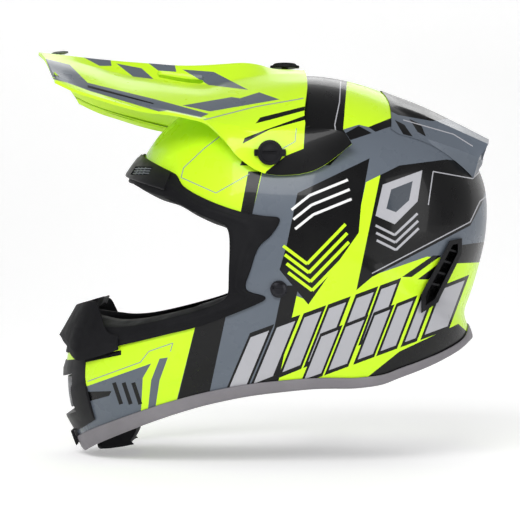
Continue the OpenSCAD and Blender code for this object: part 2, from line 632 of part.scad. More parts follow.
module visor_plate() {
    n_rail = len(visor_rails);
    n_row = len(visor_rails[0]);
    flipped = function (p) [p[0], -p[1], p[2]];
    top = [for (i = [0:n_row - 1]) concat(
        [for (k = [n_rail - 1:-1:1]) flipped(visor_rails[k][i])],
        [for (k = [0:n_rail - 1]) visor_rails[k][i]])];
    low = [for (i = [0:n_row - 1]) [for (j = [0:2 * n_rail - 2])
        top[i][j] + face_normal(top, i, j) * visor_wall]];
    loft([for (i = [0:n_row - 1]) concat(top[i], [for (j = [2 * n_rail - 2:-1:0]) low[i][j]])]);
}

module visor() {
    color(neon) sculpted() difference() {
        visor_plate();
        both_sides() pivot_hole(shank_r + 0.6, 100, 130);
        hull() for (s = [-1, 1]) translate([top_screw[0] + s * slot_travel / 2, 0, 125])
            cylinder(r = shank_r + 1.6, h = 30, $fn = 24);
        // air slots beside the spine
        both_sides() hull() for (x = [92, 124]) translate([x, x < 100 ? 31 : 27, 110])
            cylinder(r = 3.2, h = 40, $fn = 16);
    }
}

module visor_badge() {
    color(slate) translate([210, 0, 151]) rotate([0, 6.5, 0]) difference() {
        cylinder(r = 7, h = 1.4, $fn = 6);
        translate([0, 0, 1]) cylinder(r = 4.5, h = 1, $fn = 6);
    }
}

// Rubber spacers between the wings and the shell.
spacer_y = side_y(pivot[0], pivot[1]);
module visor_spacers() {
    color(coal) both_sides() translate([pivot[0], pivot_y - visor_wall - 1.2, pivot[1]]) rotate([90, 0, 0])
        difference() {
            cylinder(r = 5.6, h = pivot_y - visor_wall - 0.4 - spacer_y, $fn = 48);
            translate([0, 0, -1]) cylinder(r = shank_r + 0.08, h = 20, $fn = 48);
        }
}

module insert_nut(h) {
    difference() {
        union() {
            cylinder(r = 6.2, h = h, $fn = 48);
            translate([0, 0, -1.6]) cylinder(r = 9, h = 1.6, $fn = 48);
        }
        translate([0, 0, -3]) cylinder(r = shank_r + 0.08, h = h + 6, $fn = 48);
    }
}
insert_y = spacer_y - 10;
insert_z = 122.8;
module visor_inserts() {
    color(steel) {
        both_sides() translate([pivot[0], insert_y, pivot[1]]) rotate([-90, 0, 0]) insert_nut(8.4);
        translate([top_screw[0], 0, insert_z]) insert_nut(7);
    }
}

// Thumb screw with a winged head, along +Z with the underside of its head at z = 0.
module visor_screw(length) {
    color(coal) {
        difference() {
            union() {
                cylinder(r = knob_r, h = 2.4, $fn = 64);
                translate([0, 0, 2.4]) cylinder(r1 = knob_r, r2 = knob_r - 1.6, h = 1.4, $fn = 64);
                intersection() {
                    translate([0, 0, 1]) cube([2 * knob_r + 4, 5, 2], center = true);
                    cylinder(r = knob_r + 1.8, h = 4, $fn = 64);
                }
            }
            translate([0, 0, 3.8]) cube([knob_r * 1.2, 2.6, 3], center = true);
        }
        translate([0, 0, -length]) cylinder(r = shank_r, h = length + 0.5, $fn = 48);
    }
}
module visor_screw_left() {
    translate([pivot[0], pivot_y + 0.8, pivot[1]]) rotate([-90, 0, 0]) visor_screw(16);
}
module visor_screw_right() {
    mirror([0, 1, 0]) visor_screw_left();
}
module visor_screw_top() {
    translate([top_screw[0], 0, top_screw[1] + 1.8]) visor_screw(14);
}

outer_shell();
rear_spoiler();
eyeport_trim();
base_trim();
base_trim_clip();
brow_vent();
brow_vent_mesh();
nose_guard();
chin_vent_housing();
chin_vent_mesh();
chin_vent_shutter();
chin_vent_lever();
chin_curtain();
rear_exhaust_left();
rear_exhaust_right();
spoiler_vent_grilles();
eps_liner();
chin_eps();
comfort_liner();
neck_roll();
cheek_pad_left();
cheek_pad_right();
cheek_pad_plate_left();
cheek_pad_plate_right();
pad_snaps();
strap_rivets();
strap_anchor_left();
strap_anchor_right();
chin_strap_left();
chin_strap_right();
strap_tail();
d_ring_inner();
d_ring_outer();
strap_snap_stud();
strap_snap_socket();
visor();
visor_badge();
visor_spacers();
visor_inserts();
visor_screw_left();
visor_screw_right();
visor_screw_top();
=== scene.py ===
import json
import math

import bmesh
import bpy
import numpy as np
from mathutils.geometry import tessellate_polygon
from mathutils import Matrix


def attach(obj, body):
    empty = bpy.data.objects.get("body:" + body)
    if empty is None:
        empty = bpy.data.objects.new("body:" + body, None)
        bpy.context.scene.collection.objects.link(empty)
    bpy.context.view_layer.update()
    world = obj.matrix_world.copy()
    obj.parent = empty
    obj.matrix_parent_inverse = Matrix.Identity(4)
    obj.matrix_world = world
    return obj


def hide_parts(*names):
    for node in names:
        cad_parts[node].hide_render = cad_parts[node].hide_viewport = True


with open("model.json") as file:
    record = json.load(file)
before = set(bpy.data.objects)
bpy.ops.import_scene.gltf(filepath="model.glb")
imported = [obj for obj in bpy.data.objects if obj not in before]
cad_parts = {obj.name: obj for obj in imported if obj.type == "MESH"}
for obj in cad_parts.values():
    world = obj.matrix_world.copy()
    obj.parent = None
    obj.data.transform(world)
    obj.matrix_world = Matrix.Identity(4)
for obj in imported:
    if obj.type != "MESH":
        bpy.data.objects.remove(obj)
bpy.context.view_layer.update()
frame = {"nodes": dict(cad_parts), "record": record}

# Motocross helmet. Lengths in this script are in millimetres, and MM turns them into metres.
# +X is forward, +Y is the wearer's left, +Z is up, and the origin is the centre of the head.
MM = 0.001

# ---------- dimensions, as in the CAD ----------

HALF_WIDTH = 124
SHELL_WALL = 4
SQUARENESS = 2.1
CROWN_EL = 87
TRIM_WALL = 2.2
HOLLOW = (108, 90, 96)
COMFORT_WALL = 9
CHEEK_Y = 62
VISOR_WALL = 2.4
PIVOT = (35.7, 61)
PIVOT_Y = 118.2
TOP_SCREW = (22.7, 137.2)
SHANK_R = 2.9
INSERT_HOLE_R = 6.5
WELL_R = 10
RIVET_HOLE_R = 3.6
SLOT_TRAVEL = 14
RIVET = (29, -43)
STRAP_X = 31
STRAP_W = 25
STRAP_T = 1.6
STRAP_LOW = -113
BUCKLE_Y = 40
WIRE_R = 1.8
VENT_AZ = (-14.5, 14.5)
VENT_EL = (-37.4, -28)
EXHAUST_TOP = np.array([-112.0, -8.0])
EXHAUST_END = np.array([-86.0, -54.0])
EXHAUST_RUN = (EXHAUST_END - EXHAUST_TOP) / np.linalg.norm(EXHAUST_END - EXHAUST_TOP)
EXHAUST_W = 7
GRILLE_TURN = 25

# Side outline of the shell, with the eyeport filled in, as (x, z).
OUTLINE = [(-138, -24), (-133, -42), (-126, -61), (-124, -68), (-129, -76), (-133, -85),
    (-115, -127), (-75, -180), (0, -222), (60, -240), (150, -215), (188, -178), (197, -157),
    (203.5, -136), (204.5, -118), (203, -98), (197, -74), (187, -44.5), (175, -10), (160, 23),
    (150, 45), (137, 68), (127, 82.5), (110, 98), (82, 114), (50, 125), (22, 130.5), (0, 131.5),
    (-23, 128.5), (-50, 121), (-74, 111), (-100, 98), (-122, 80), (-136, 58), (-143, 39),
    (-144.5, 24), (-144, 6)]

# Eyeport rubber as (inner azimuth, inner elevation, outer azimuth, outer elevation).
EYEPORT = [(0, 16, 0, 26), (10, 15.8, 9, 25), (20, 14.2, 18, 22.6), (30, 12, 28, 20.5),
    (38, 10.6, 37, 18.8), (45, 7.7, 42, 14.8), (52, 5, 52, 10.6), (57, 3.4, 63, 7.2),
    (59.3, 1.5, 71, 5.8), (60.2, -1, 77, 4.8), (60.5, -4, 74.5, -0.5), (60.6, -8, 70, -5),
    (60.6, -12, 67.5, -12), (60.6, -16, 66, -18), (60.2, -18.8, 72, -20.8),
    (58.5, -20.6, 70, -22.6), (54, -21.8, 60, -25.1), (48, -22.5, 51, -26.4),
    (40, -22.9, 42, -26.6), (32, -22.8, 33, -26.6), (25, -22, 26, -26.4), (18, -20.5, 18, -26),
    (9, -19, 9, -25.6), (0, -18.5, 0, -25.5)]

# Elevation of the lower rim, and of the foam liner's lower edge, against azimuth.
RIM = [(-20, -43.1), (0, -43.4), (9, -43.1), (16, -42.9), (25, -43.1), (36, -43.7), (47, -44.6),
    (58, -45.7), (74, -47.1), (88, -48), (103, -48.4), (110, -48), (118, -46.9), (125, -44.8),
    (133, -42.5), (141, -40), (152, -36), (160, -33.2), (170, -32.4), (180, -32.4), (190, -32.4)]
EPS_EDGE = [(-20, 19), (0, 20), (20, 18), (38, 14.5), (50, 10), (60, 7), (66, 3), (72, -3),
    (80, -8), (88, -14), (95, -24), (105, -34), (120, -38), (135, -31), (150, -26), (165, -22),
    (180, -21), (190, -21)]

# Rails of the visor from its front edge to its rear edge, from the spine out to the wing's edge.
VISOR_RAILS = [
    [(227, 0, 151.6), (205, 0, 148.8), (185, 0, 146.4), (160, 0, 143.8), (135, 0, 141.8),
        (112, 0, 140.2), (92, 0, 140.4), (75, 0, 141.6), (58, 0, 142.8), (45, 0, 141),
        (34, 0, 137.6), (20, 0, 136.8), (7, 0, 136)],
    [(226, 14, 150.6), (204, 15, 148.2), (184, 16, 145.8), (159, 17, 143.2), (134, 18, 141.2),
        (111, 19, 139.4), (91, 20, 139.4), (74, 20, 140.4), (57, 20, 141.4), (44, 20, 139.8),
        (33, 20, 136.6), (19, 20, 135.8), (7, 20, 135.2)],
    [(222, 26, 147.6), (202, 27, 143.2), (182, 28, 137.8), (157, 30, 131), (132, 32, 126.8),
        (108, 33, 123.6), (88, 35, 122), (71, 36, 124), (55, 37, 127), (42, 38, 129),
        (31, 39, 129.8), (18, 40, 130.2), (6, 41, 129.8)],
    [(215, 50, 140), (197, 52, 133.5), (178, 53, 128), (154, 55, 121.5), (130, 58, 116.8),
        (108, 61, 112.8), (89, 64, 110), (73, 67, 109), (58, 69, 110), (45, 71, 111.8),
        (33, 72, 113.8), (20, 73, 115.8), (6, 74, 116.8)],
    [(208, 72, 129), (192, 74, 121.5), (174, 76, 116), (152, 79, 110.5), (130, 82, 105.5),
        (110, 85, 100.8), (93, 88, 97), (78, 92, 94), (64, 97, 91), (51, 101, 89.5),
        (38, 103, 90), (24, 103, 92.5), (9, 102, 93.5)],
    [(205.5, 80, 124.5), (190, 82, 117), (172, 84, 110.5), (151, 87, 104.5), (131, 90, 99.5),
        (112, 93, 95.5), (96, 96, 92), (82, 100, 88.5), (68, 106, 84), (54, 111, 80),
        (40, 113.5, 79), (24, 113.5, 80), (8, 112.5, 80.5)],
    [(204, 84, 122), (188, 86, 114.5), (170, 89, 108), (150, 92, 101.5), (130, 94.5, 97),
        (112, 96.5, 94.2), (97, 99, 91), (83, 103, 87), (70, 110, 78), (56, 116, 69),
        (38, 117.8, 64.5), (10, 117.8, 67), (-18, 115, 78)],
    [(203, 88, 119.4), (186, 91, 111.5), (168, 93.5, 105.8), (149, 95.5, 100), (130, 97, 95.2),
        (113, 98.5, 93.6), (98, 101, 90.4), (85, 105, 86), (72, 113, 73), (58, 117.6, 56),
        (36, 118.9, 44.5), (2, 120.6, 47.5), (-27, 116, 68)]]

# Rails of the spoiler on the wearer's left, from the middle out and down.
SPOILER_RAILS = [
    [(-56, 0, 119.6), (-82, 0, 109.2), (-112, 0, 95), (-143.5, 0, 78.5)],
    [(-56, 26, 117.6), (-82, 30, 106.6), (-112, 32, 92), (-143, 34, 76)],
    [(-60, 54, 105), (-84, 57, 96), (-110, 58, 84.5), (-139.5, 56, 71.5)],
    [(-58, 84, 80), (-82, 79, 76), (-106, 74, 69), (-131, 64, 60.5)]]

# ---------- curves and surfaces ----------


def curve(rows, x):
    """Smooth curve through the rows (x, value)."""
    t = np.asarray(rows, float)
    x = np.asarray(x, float)
    i = np.clip(np.searchsorted(t[:, 0], x, side="right") - 1, 0, len(t) - 2)
    before = np.maximum(np.arange(len(t)) - 1, 0)
    after = np.minimum(np.arange(len(t)) + 1, len(t) - 1)
    slope = (t[after, 1] - t[before, 1]) / (t[after, 0] - t[before, 0])
    h = t[i + 1, 0] - t[i, 0]
    s = (x - t[i, 0]) / h
    return ((2 * s**3 - 3 * s**2 + 1) * t[i, 1] + (s**3 - 2 * s**2 + s) * h * slope[i]
            + (3 * s**2 - 2 * s**3) * t[i + 1, 1] + (s**3 - s**2) * h * slope[i + 1])


def make_reach():
    """Distance of the outline from the origin every quarter degree, smoothed for clean reflections."""
    polar = [(math.degrees(math.atan2(z, x)), math.hypot(x, z)) for x, z in OUTLINE]
    polar = sorted(polar)
    rows = [(t - 360, r) for t, r in polar[-2:]] + polar + [(t + 360, r) for t, r in polar[:2]]
    bearing = np.arange(-180, 180, 0.25)
    reach = curve(rows, bearing)
    width = 8
    kernel = np.exp(-0.5 * (np.arange(-24, 25) / width) ** 2)
    wide = np.concatenate([reach[-24:], reach, reach[:24]])
    return bearing, np.convolve(wide, kernel / kernel.sum(), "valid")


BEARING, REACH = make_reach()


def bearing_reach(t):
    return np.interp(t, BEARING, REACH, period=360)


def toward(az, el):
    az, el = np.broadcast_arrays(np.radians(az), np.radians(el))
    return np.stack([np.cos(el) * np.cos(az), np.cos(el) * np.sin(az), np.sin(el)], -1)


def skin(az, el, off=0.0):
    """Points of the shell's surface, moved out by off."""
    d = toward(az, el)
    r = np.hypot(d[..., 0], d[..., 2])
    out = bearing_reach(np.degrees(np.arctan2(d[..., 2], d[..., 0]))) + off
    k = (r / out) ** SQUARENESS + (np.abs(d[..., 1]) / (HALF_WIDTH + off)) ** SQUARENESS
    return d * (k ** (-1 / SQUARENESS))[..., None]


def side_y(x, z, off=0.0):
    out = bearing_reach(math.degrees(math.atan2(z, x))) + off
    return (HALF_WIDTH + off) * max(0, 1 - (math.hypot(x, z) / out) ** SQUARENESS) ** (1 / SQUARENESS)


def hollow(az, el, inset=0.0):
    """Points of the foam liner's hollow, moved in by inset."""
    d = toward(az, el)
    inset = np.asarray(inset, float)
    c = np.where(d[..., 2] < 0, 1.8, 1.0) * (HOLLOW[2] - inset)
    k = (np.abs(d[..., 0]) / (HOLLOW[0] - inset)) ** 2.2 + (np.abs(d[..., 1]) / (HOLLOW[1] - inset)) ** 2.2
    return d * ((k + (np.abs(d[..., 2]) / c) ** 2.2) ** (-1 / 2.2))[..., None]


def mirrored(az):
    az = np.abs(np.asarray(az, float)) % 360
    return np.where(az > 180, 360 - az, az)


def rim_el(az):
    return curve(RIM, mirrored(az))


def eps_el(az):
    return curve(EPS_EDGE, mirrored(az))


def spline(points, per, closed=False):
    """Smooth line through points, with per steps between each two of them."""
    p = np.asarray(points, float)
    n = len(p)
    spans = n if closed else n - 1
    t = np.arange(0, spans, 1 / per)
    if not closed:
        t = np.append(t, spans)
    i = np.minimum(t.astype(int), spans - 1)
    s = (t - i).reshape((-1,) + (1,) * (p.ndim - 1))
    pick = (lambda k: p[k % n]) if closed else (lambda k: p[np.clip(k, 0, n - 1)])
    a, b, c, d = pick(i - 1), pick(i), pick(i + 1), pick(i + 2)
    return 0.5 * (2 * b + (c - a) * s + (2 * a - 5 * b + 4 * c - d) * s**2 + (3 * b - a - 3 * c + d) * s**3)


def smooth_step(a, b, x):
    s = np.clip((np.asarray(x, float) - a) / (b - a), 0, 1)
    return s * s * (3 - 2 * s)


# ---------- meshes ----------


def linked(name, data):
    """Object in the scene with this data."""
    obj = bpy.data.objects.new(name, data)
    bpy.context.scene.collection.objects.link(obj)
    return obj


def new_object(name, points, faces):
    """Smooth mesh object from points in millimetres, with its faces turned outwards."""
    mesh = bpy.data.meshes.new(name)
    mesh.from_pydata((np.asarray(points, float).reshape(-1, 3) * MM).tolist(), [], faces)
    obj = linked(name, mesh)
    edit = bmesh.new()
    edit.from_mesh(mesh)
    bmesh.ops.recalc_face_normals(edit, faces=edit.faces)
    if edit.calc_volume(signed=True) < 0:
        bmesh.ops.reverse_faces(edit, faces=edit.faces)
    edit.to_mesh(mesh)
    edit.free()
    mesh.shade_smooth()
    return obj


def grid_faces(n, m, wrap_u=False, wrap_v=False, start=0):
    """Quads between the points of an n by m grid."""
    return [(start + i * m + j, start + i * m + (j + 1) % m,
             start + (i + 1) % n * m + (j + 1) % m, start + (i + 1) % n * m + j)
            for i in range(n if wrap_u else n - 1) for j in range(m if wrap_v else m - 1)]


def hoop(name, rings):
    """Closed band: rings of points that go round a loop of stations."""
    n, m = rings.shape[:2]
    return new_object(name, rings, grid_faces(n, m, True, True))


def loft(name, rings):
    """Closed solid through rings of points, with a face at each end."""
    n, m = rings.shape[:2]
    faces = grid_faces(n, m, False, True)
    faces += [tuple(range(m - 1, -1, -1)), tuple((n - 1) * m + j for j in range(m))]
    return new_object(name, rings, faces)


def bowl(name, outer, inner):
    """Dome with a wall: outer and inner are grids that end in the same small flat at the top."""
    return loft(name, np.concatenate([outer[::-1], inner]))


def finished(obj):
    """Applies the object's modifiers."""
    graph = bpy.context.evaluated_depsgraph_get()
    mesh = bpy.data.meshes.new_from_object(obj.evaluated_get(graph))
    obj.modifiers.clear()
    obj.data = mesh
    return obj


def modify(obj, kind, **settings):
    m = obj.modifiers.new(kind.lower(), kind)
    for key, value in settings.items():
        setattr(m, key, value)
    return m


def combine(obj, operation, tools):
    """Boolean of obj with tools, which don't overlap each other."""
    tool = joined("tool", tools)
    modify(obj, "BOOLEAN", operation=operation, object=tool, solver="MANIFOLD")
    finished(obj)
    bpy.data.objects.remove(tool)
    return obj


def cut(obj, cutters):
    return combine(obj, "DIFFERENCE", cutters)


def joined(name, parts):
    """One object out of several."""
    edit = bmesh.new()
    for part in parts:
        edit.from_mesh(part.data)
        bpy.data.objects.remove(part)
    mesh = bpy.data.meshes.new(name)
    edit.to_mesh(mesh)
    edit.free()
    mesh.shade_smooth()
    return linked(name, mesh)


def soft_edges(obj, width=0.5, angle=32, segments=2):
    """Rounds the hard edges, and shades the rest smooth."""
    obj.data.shade_smooth()
    obj.data.set_sharp_from_angle(angle=math.radians(angle))
    modify(obj, "BEVEL", width=width * MM, segments=segments, limit_method="ANGLE",
           angle_limit=math.radians(angle), harden_normals=True, use_clamp_overlap=True)
    return obj


def clone(obj, name, mirror=False):
    """Copy of an object, mirrored to the wearer's other side if asked."""
    mesh = obj.data.copy()
    if mirror:
        for v in mesh.vertices:
            v.co.y = -v.co.y
        mesh.flip_normals()
    return linked(name, mesh)


def place(obj, body, slot, *nodes, material=None):
    """Paints a piece, parents it to the empty of the body that it rides on, and hides the CAD nodes given."""
    paint_on(obj, material or FINISH[slot])
    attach(obj, body)
    if nodes:
        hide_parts(*nodes)


def both_sides(rows):
    """Rows from the middle out, carried on to the wearer's right side."""
    return np.concatenate([rows[:0:-1] * [1, -1, 1], rows])


def prism(name, outline_xz, y0, y1):
    """Solid between two heights across the helmet, from an outline in side view."""
    p = np.asarray(outline_xz, float)
    ring = lambda y: np.stack([p[:, 0], np.full(len(p), y), p[:, 1]], -1)
    return loft(name, np.stack([ring(y0), ring(y1)]))


def rod(name, start, axis, r, length, n=48):
    """Cylinder from start along an axis."""
    start = np.asarray(start, float)
    axis = np.asarray(axis, float) / np.linalg.norm(axis)
    side = np.cross(axis, [0, 0, 1] if abs(axis[2]) < 0.9 else [1, 0, 0])
    side = side / np.linalg.norm(side)
    other = np.cross(axis, side)
    t = np.linspace(0, 2 * np.pi, n, endpoint=False)[:, None]
    ring = r * (np.cos(t) * side + np.sin(t) * other)
    return loft(name, np.stack([start + ring, start + ring + axis * length]))


def side_rod(name, at, y, side, r, length, n=48):
    """Cylinder that points out of one side of the helmet, from y on that side."""
    return rod(name, (at[0], side * y, at[1]), (0, side, 0), r, length, n)


def block(name, low, high):
    """Box between two corners."""
    (x0, y0, z0), (x1, y1, z1) = low, high
    ring = lambda z: [(x0, y0, z), (x1, y0, z), (x1, y1, z), (x0, y1, z)]
    return loft(name, np.array([ring(z0), ring(z1)], float))


def patch(name, az, el, off, n=24, m=12):
    """Block of the shell's wall between two azimuths, two elevations and two offsets."""
    a = np.linspace(az[0], az[1], n + 1)[:, None]
    e = np.linspace(el[0], el[1], m + 1)[None, :]
    return loft(name, np.concatenate([skin(a, e, off[0]), skin(a, e, off[1])[:, ::-1]], 1))


# ---------- materials ----------

NEON = (0.60, 0.93, 0.020)
SLATE = (0.115, 0.135, 0.165)
COAL = (0.0035, 0.0035, 0.004)
SILVER = (0.42, 0.42, 0.45)
WHITE = (0.80, 0.80, 0.80)
BLACK = (0.006, 0.006, 0.0075)
COLOURS = {"neon": NEON, "slate": SLATE, "coal": COAL, "silver": SILVER, "white": WHITE,
           "dim": (0.26, 0.29, 0.33), "deep": (0.05, 0.06, 0.075)}


class Material:
    """Node material with a Principled shader and short names for the nodes that it uses."""

    def __init__(self, name, **sockets):
        self.data = bpy.data.materials.new(name)
        self.data.use_nodes = True
        self.tree = self.data.node_tree
        self.shader = self.tree.nodes["Principled BSDF"]
        for key, value in sockets.items():
            self.set(key.replace("_", " "), value)
        texture = self.tree.nodes.new("ShaderNodeTexCoord")
        self.coords = texture.outputs["Object"]
        self.normals = texture.outputs["Normal"]

    def set(self, socket, value):
        target = self.shader.inputs[socket]
        if hasattr(value, "is_linked"):
            self.tree.links.new(value, target)
        elif isinstance(value, tuple):
            target.default_value = (*value, 1.0)
        else:
            target.default_value = value

    def feed(self, node, index, value):
        if hasattr(value, "is_linked"):
            self.tree.links.new(value, node.inputs[index])
        elif isinstance(value, tuple) and len(node.inputs[index].default_value) == 4:
            node.inputs[index].default_value = (*value, 1.0)
        else:
            node.inputs[index].default_value = value

    def node(self, kind, *values, **settings):
        """New node with its first inputs fed and its settings made."""
        node = self.tree.nodes.new("ShaderNode" + kind)
        for key, value in settings.items():
            setattr(node, key, value)
        for i, value in enumerate(values):
            self.feed(node, i, value)
        return node

    def math(self, operation, *values):
        return self.node("Math", *values, operation=operation).outputs[0]

    def vector(self, operation, a, b):
        node = self.node("VectorMath", a, operation=operation)
        self.feed(node, "Scale" if operation == "SCALE" else 1, b)
        return node.outputs["Value" if operation == "DOT_PRODUCT" else "Vector"]

    def mix(self, factor, a, b):
        node = self.node("Mix", factor, data_type="RGBA")
        self.feed(node, 6, a)
        self.feed(node, 7, b)
        return node.outputs[2]

    def range(self, value, low, high, to_low=0.0, to_high=1.0):
        return self.node("MapRange", value, low, high, to_low, to_high).outputs[0]

    def noise(self, scale, detail=3.0, rough=0.5, where=None):
        node = self.node("TexNoise", where or self.coords)
        for key, value in (("Scale", scale), ("Detail", detail), ("Roughness", rough)):
            self.feed(node, key, value)
        return node.outputs["Fac"]

    def cells(self, scale, feature="F1"):
        node = self.node("TexVoronoi", self.coords, feature=feature)
        self.feed(node, "Scale", scale)
        return node.outputs["Distance"]

    def waves(self, scale, direction, distortion=0.0):
        node = self.node("TexWave", self.coords, bands_direction=direction)
        self.feed(node, "Scale", scale)
        self.feed(node, "Distortion", distortion)
        return node.outputs["Fac"]

    def axis(self, index, where=None):
        return self.node("SeparateXYZ", where or self.coords).outputs[index]

    def combined(self, x, y, z):
        return self.node("CombineXYZ", x, y, z).outputs[0]

    def bump(self, height, depth, strength=1.0):
        """Bump of a height from 0 to 1, depth millimetres deep."""
        node = self.tree.nodes.new("ShaderNodeBump")
        node.inputs["Strength"].default_value = strength
        node.inputs["Distance"].default_value = depth * MM
        self.tree.links.new(height, node.inputs["Height"])
        self.tree.links.new(node.outputs[0], self.shader.inputs["Normal"])


def paint_on(obj, material):
    obj.data.materials.clear()
    obj.data.materials.append(material.data)
    return obj


# The graphics lie on the helmet as one sees it from the side, from EYE_Y millimetres away.
EYE = (43.3, -20.8)
EYE_Y = 1400


def side_view(m):
    """Vector (x, z, 1) in metres of the point seen from the side, the same on both sides."""
    depth = m.math("SUBTRACT", EYE_Y * MM, m.math("ABSOLUTE", m.axis(1)))
    k = m.math("DIVIDE", EYE_Y * MM, depth)
    x = m.math("MULTIPLY_ADD", m.math("SUBTRACT", m.axis(0), EYE[0] * MM), k, EYE[0] * MM)
    z = m.math("MULTIPLY_ADD", m.math("SUBTRACT", m.axis(2), EYE[1] * MM), k, EYE[1] * MM)
    return m.combined(x, z, 1.0)


def convex_parts(polygon):
    """Convex polygons that fill a polygon: its triangles, joined while they stay convex."""
    flat = [(x, z, 0) for x, z in polygon]
    parts = [list(t) for t in tessellate_polygon([flat])]

    def turn(a, b, c):
        (ax, az), (bx, bz), (cx, cz) = polygon[a], polygon[b], polygon[c]
        return (bx - ax) * (cz - bz) - (bz - az) * (cx - bx)

    parts = [p if turn(*p) > 0 else p[::-1] for p in parts]
    merged = True
    while merged:
        merged = False
        for a in parts:
            for b in parts:
                shared = [i for i in a if i in b]
                if a is b or len(shared) != 2:
                    continue
                k = next(i for i in range(len(a)) if a[i] in shared and a[(i + 1) % len(a)] in shared)
                extra = [i for i in b[b.index(a[k]):] + b[:b.index(a[k])] if i not in shared]
                one = a[:k + 1] + extra + a[k + 1:]
                n = len(one)
                if all(turn(one[i], one[(i + 1) % n], one[(i + 2) % n]) > 0 for i in range(n)):
                    parts.remove(a)
                    parts.remove(b)
                    parts.append(one)
                    merged = True
                    break
            if merged:
                break
    return [[polygon[i] for i in p] for p in parts]


def stripes(colour, points, width):
    """Polygons of a line of some width through points."""
    made = []
    for (ax, az), (bx, bz) in zip(points, points[1:]):
        length = math.hypot(bx - ax, bz - az)
        nx, nz = (bz - az) / length * width / 2, (ax - bx) / length * width / 2
        corners = [(ax + nx, az + nz), (bx + nx, bz + nz), (bx - nx, bz - nz), (ax - nx, az - nz)]
        made.append((colour, corners))
    return made


def inside(m, view, polygon):
    """1 where the seen point lies in a convex polygon whose corners run anticlockwise."""
    least = None
    n = len(polygon)
    for i in range(n):
        (ax, az), (bx, bz) = polygon[i], polygon[(i + 1) % n]
        length = math.hypot(bx - ax, bz - az)
        nx, nz = (az - bz) / length, (bx - ax) / length
        near = m.vector("DOT_PRODUCT", view, (nx, nz, -(nx * ax + nz * az) * MM))
        least = near if least is None else m.math("MINIMUM", least, near)
    return m.math("GREATER_THAN", least, 0.0)


def graphics(m, base, shapes):
    """Paints the shapes one over the other on the base colour."""
    view = side_view(m)
    colour = base
    for name, polygon in shapes:
        for part in convex_parts(polygon):
            colour = m.mix(inside(m, view, part), colour, COLOURS[name])
    return colour


def block_row(low, high, shares, slant=0.06):
    """Slanted blocks with a black outline in a band between two lines."""
    low, high = np.asarray(low, float), np.asarray(high, float)
    at = lambda line, s: line[0] + (line[1] - line[0]) * s
    made = []
    for grow, colour in ((0.019, "coal"), (0.0, "silver")):
        for a, b in shares:
            up = 0.06 if grow > 0 else -0.03
            foot = [at(low, a - grow - slant), at(low, b + grow - slant)]
            head = [at(high, b + grow + slant), at(high, a - grow + slant)]
            rise = (head[0] - foot[1]) * up
            made.append((colour, [tuple(foot[0] - rise), tuple(foot[1] - rise),
                                  tuple(head[0] + rise), tuple(head[1] + rise)]))
    return made


def chevrons(colour, left, tip, right, step, count, width):
    """V-shaped stripes, each moved on by step."""
    made = []
    for i in range(count):
        move = lambda p: (p[0] + step[0] * i, p[1] + step[1] * i)
        made += stripes(colour, [move(left), move(tip), move(right)], width)
    return made


SHELL_GRAPHICS = [
    ("neon", [(227, 163), (10, 163), (42, 50), (50, 17), (177, -4)]),
    ("coal", [(53, 53), (42, 53), (50, 16), (60, 16)]),
    ("coal", [(18, 163), (-32, 163), (-30, 126), (-26, 88), (-33, 77), (-15, 58), (60, 58)]),
    ("neon", [(-32, 163), (-90, 163), (-73, 112), (-72, 100), (-47, 90), (-39, 92), (-26, 88)]),
    ("coal", [(-73, 146), (-111, 146), (-96, 101), (-53, 86), (-47, 90), (-72, 100)]),
    ("coal", [(-28, 85), (-39, 91), (-50, 85), (-32, 79)]),
    ("neon", [(-45, 44), (-57, 50), (-37, -46), (-50, -34), (-96, -18), (-157, -22), (-157, -137),
              (42, -137), (24, -46), (5, -54), (-41, 25)]),
    ("coal", [(12, 35), (-48, 64), (-41, 25), (-39, 2), (3, -58), (27, -29), (21, -8)]),
    ("coal", [(24, -42), (11, -42), (29, -127), (42, -127)]),
    ("coal", [(-57, 50), (-73, 58), (-112, 63), (-138, 60), (-146, 43), (-142, 27), (-132, 8),
              (-50, -35), (-37, -46)]),
    ("coal", [(-75, -35), (-83, -35), (-108, -17), (-101, -17)]),
    ("coal", [(-88, -37), (-97, -37), (-113, -22), (-108, -22)]),
    ("coal", [(-119, -9), (-157, -4), (-157, -22), (-112, -24)]),
    ("coal", [(-43, -121), (-63, -121), (-107, -100), (-132, -83), (-122, -74), (-73, -97)]),
    ("silver", [(-59, 42), (-92, 54), (-88, 28), (-69, 9), (-53, 16)]),
    ("deep", [(-66, 38), (-84, 45), (-81, 29), (-70, 19), (-62, 22)]),
    ("neon", [(210, -71), (96, -71), (115, -147), (210, -196)]),
    ("slate", [(210, -134), (134, -107), (141, -119), (143, -157), (210, -196)]),
    ("slate", [(127, -103), (120, -102), (127, -121), (132, -154), (138, -157), (134, -121)]),
    ("coal", [(96, -71), (71, -64), (87, -139), (115, -149)]),
    ("coal", [(202, -131), (167, -130), (169, -134), (202, -143)]),
    ("coal", [(193, -102), (159, -96), (159, -100), (193, -107)]),
]
for shade, thickness, line in (
        ("silver", 0.9, [(-24, 138), (-24, 128), (-23, 111), (-19, 92), (-20, 85), (-7, 78)]),
        ("silver", 0.9, [(-97, 25), (-101, 53), (-134, 47), (-140, 53)]),
        ("silver", 0.9, [(-146, 33), (-140, 28), (-132, 11), (-50, -32)]),
        ("dim", 0.8, [(77, 82), (90, 72), (107, 56), (109, 48), (80, 35), (52, 51)]),
        ("dim", 0.8, [(187, -122), (143, -106), (136, -97), (116, -90), (118, -97)])):
    SHELL_GRAPHICS += stripes(shade, line, thickness)
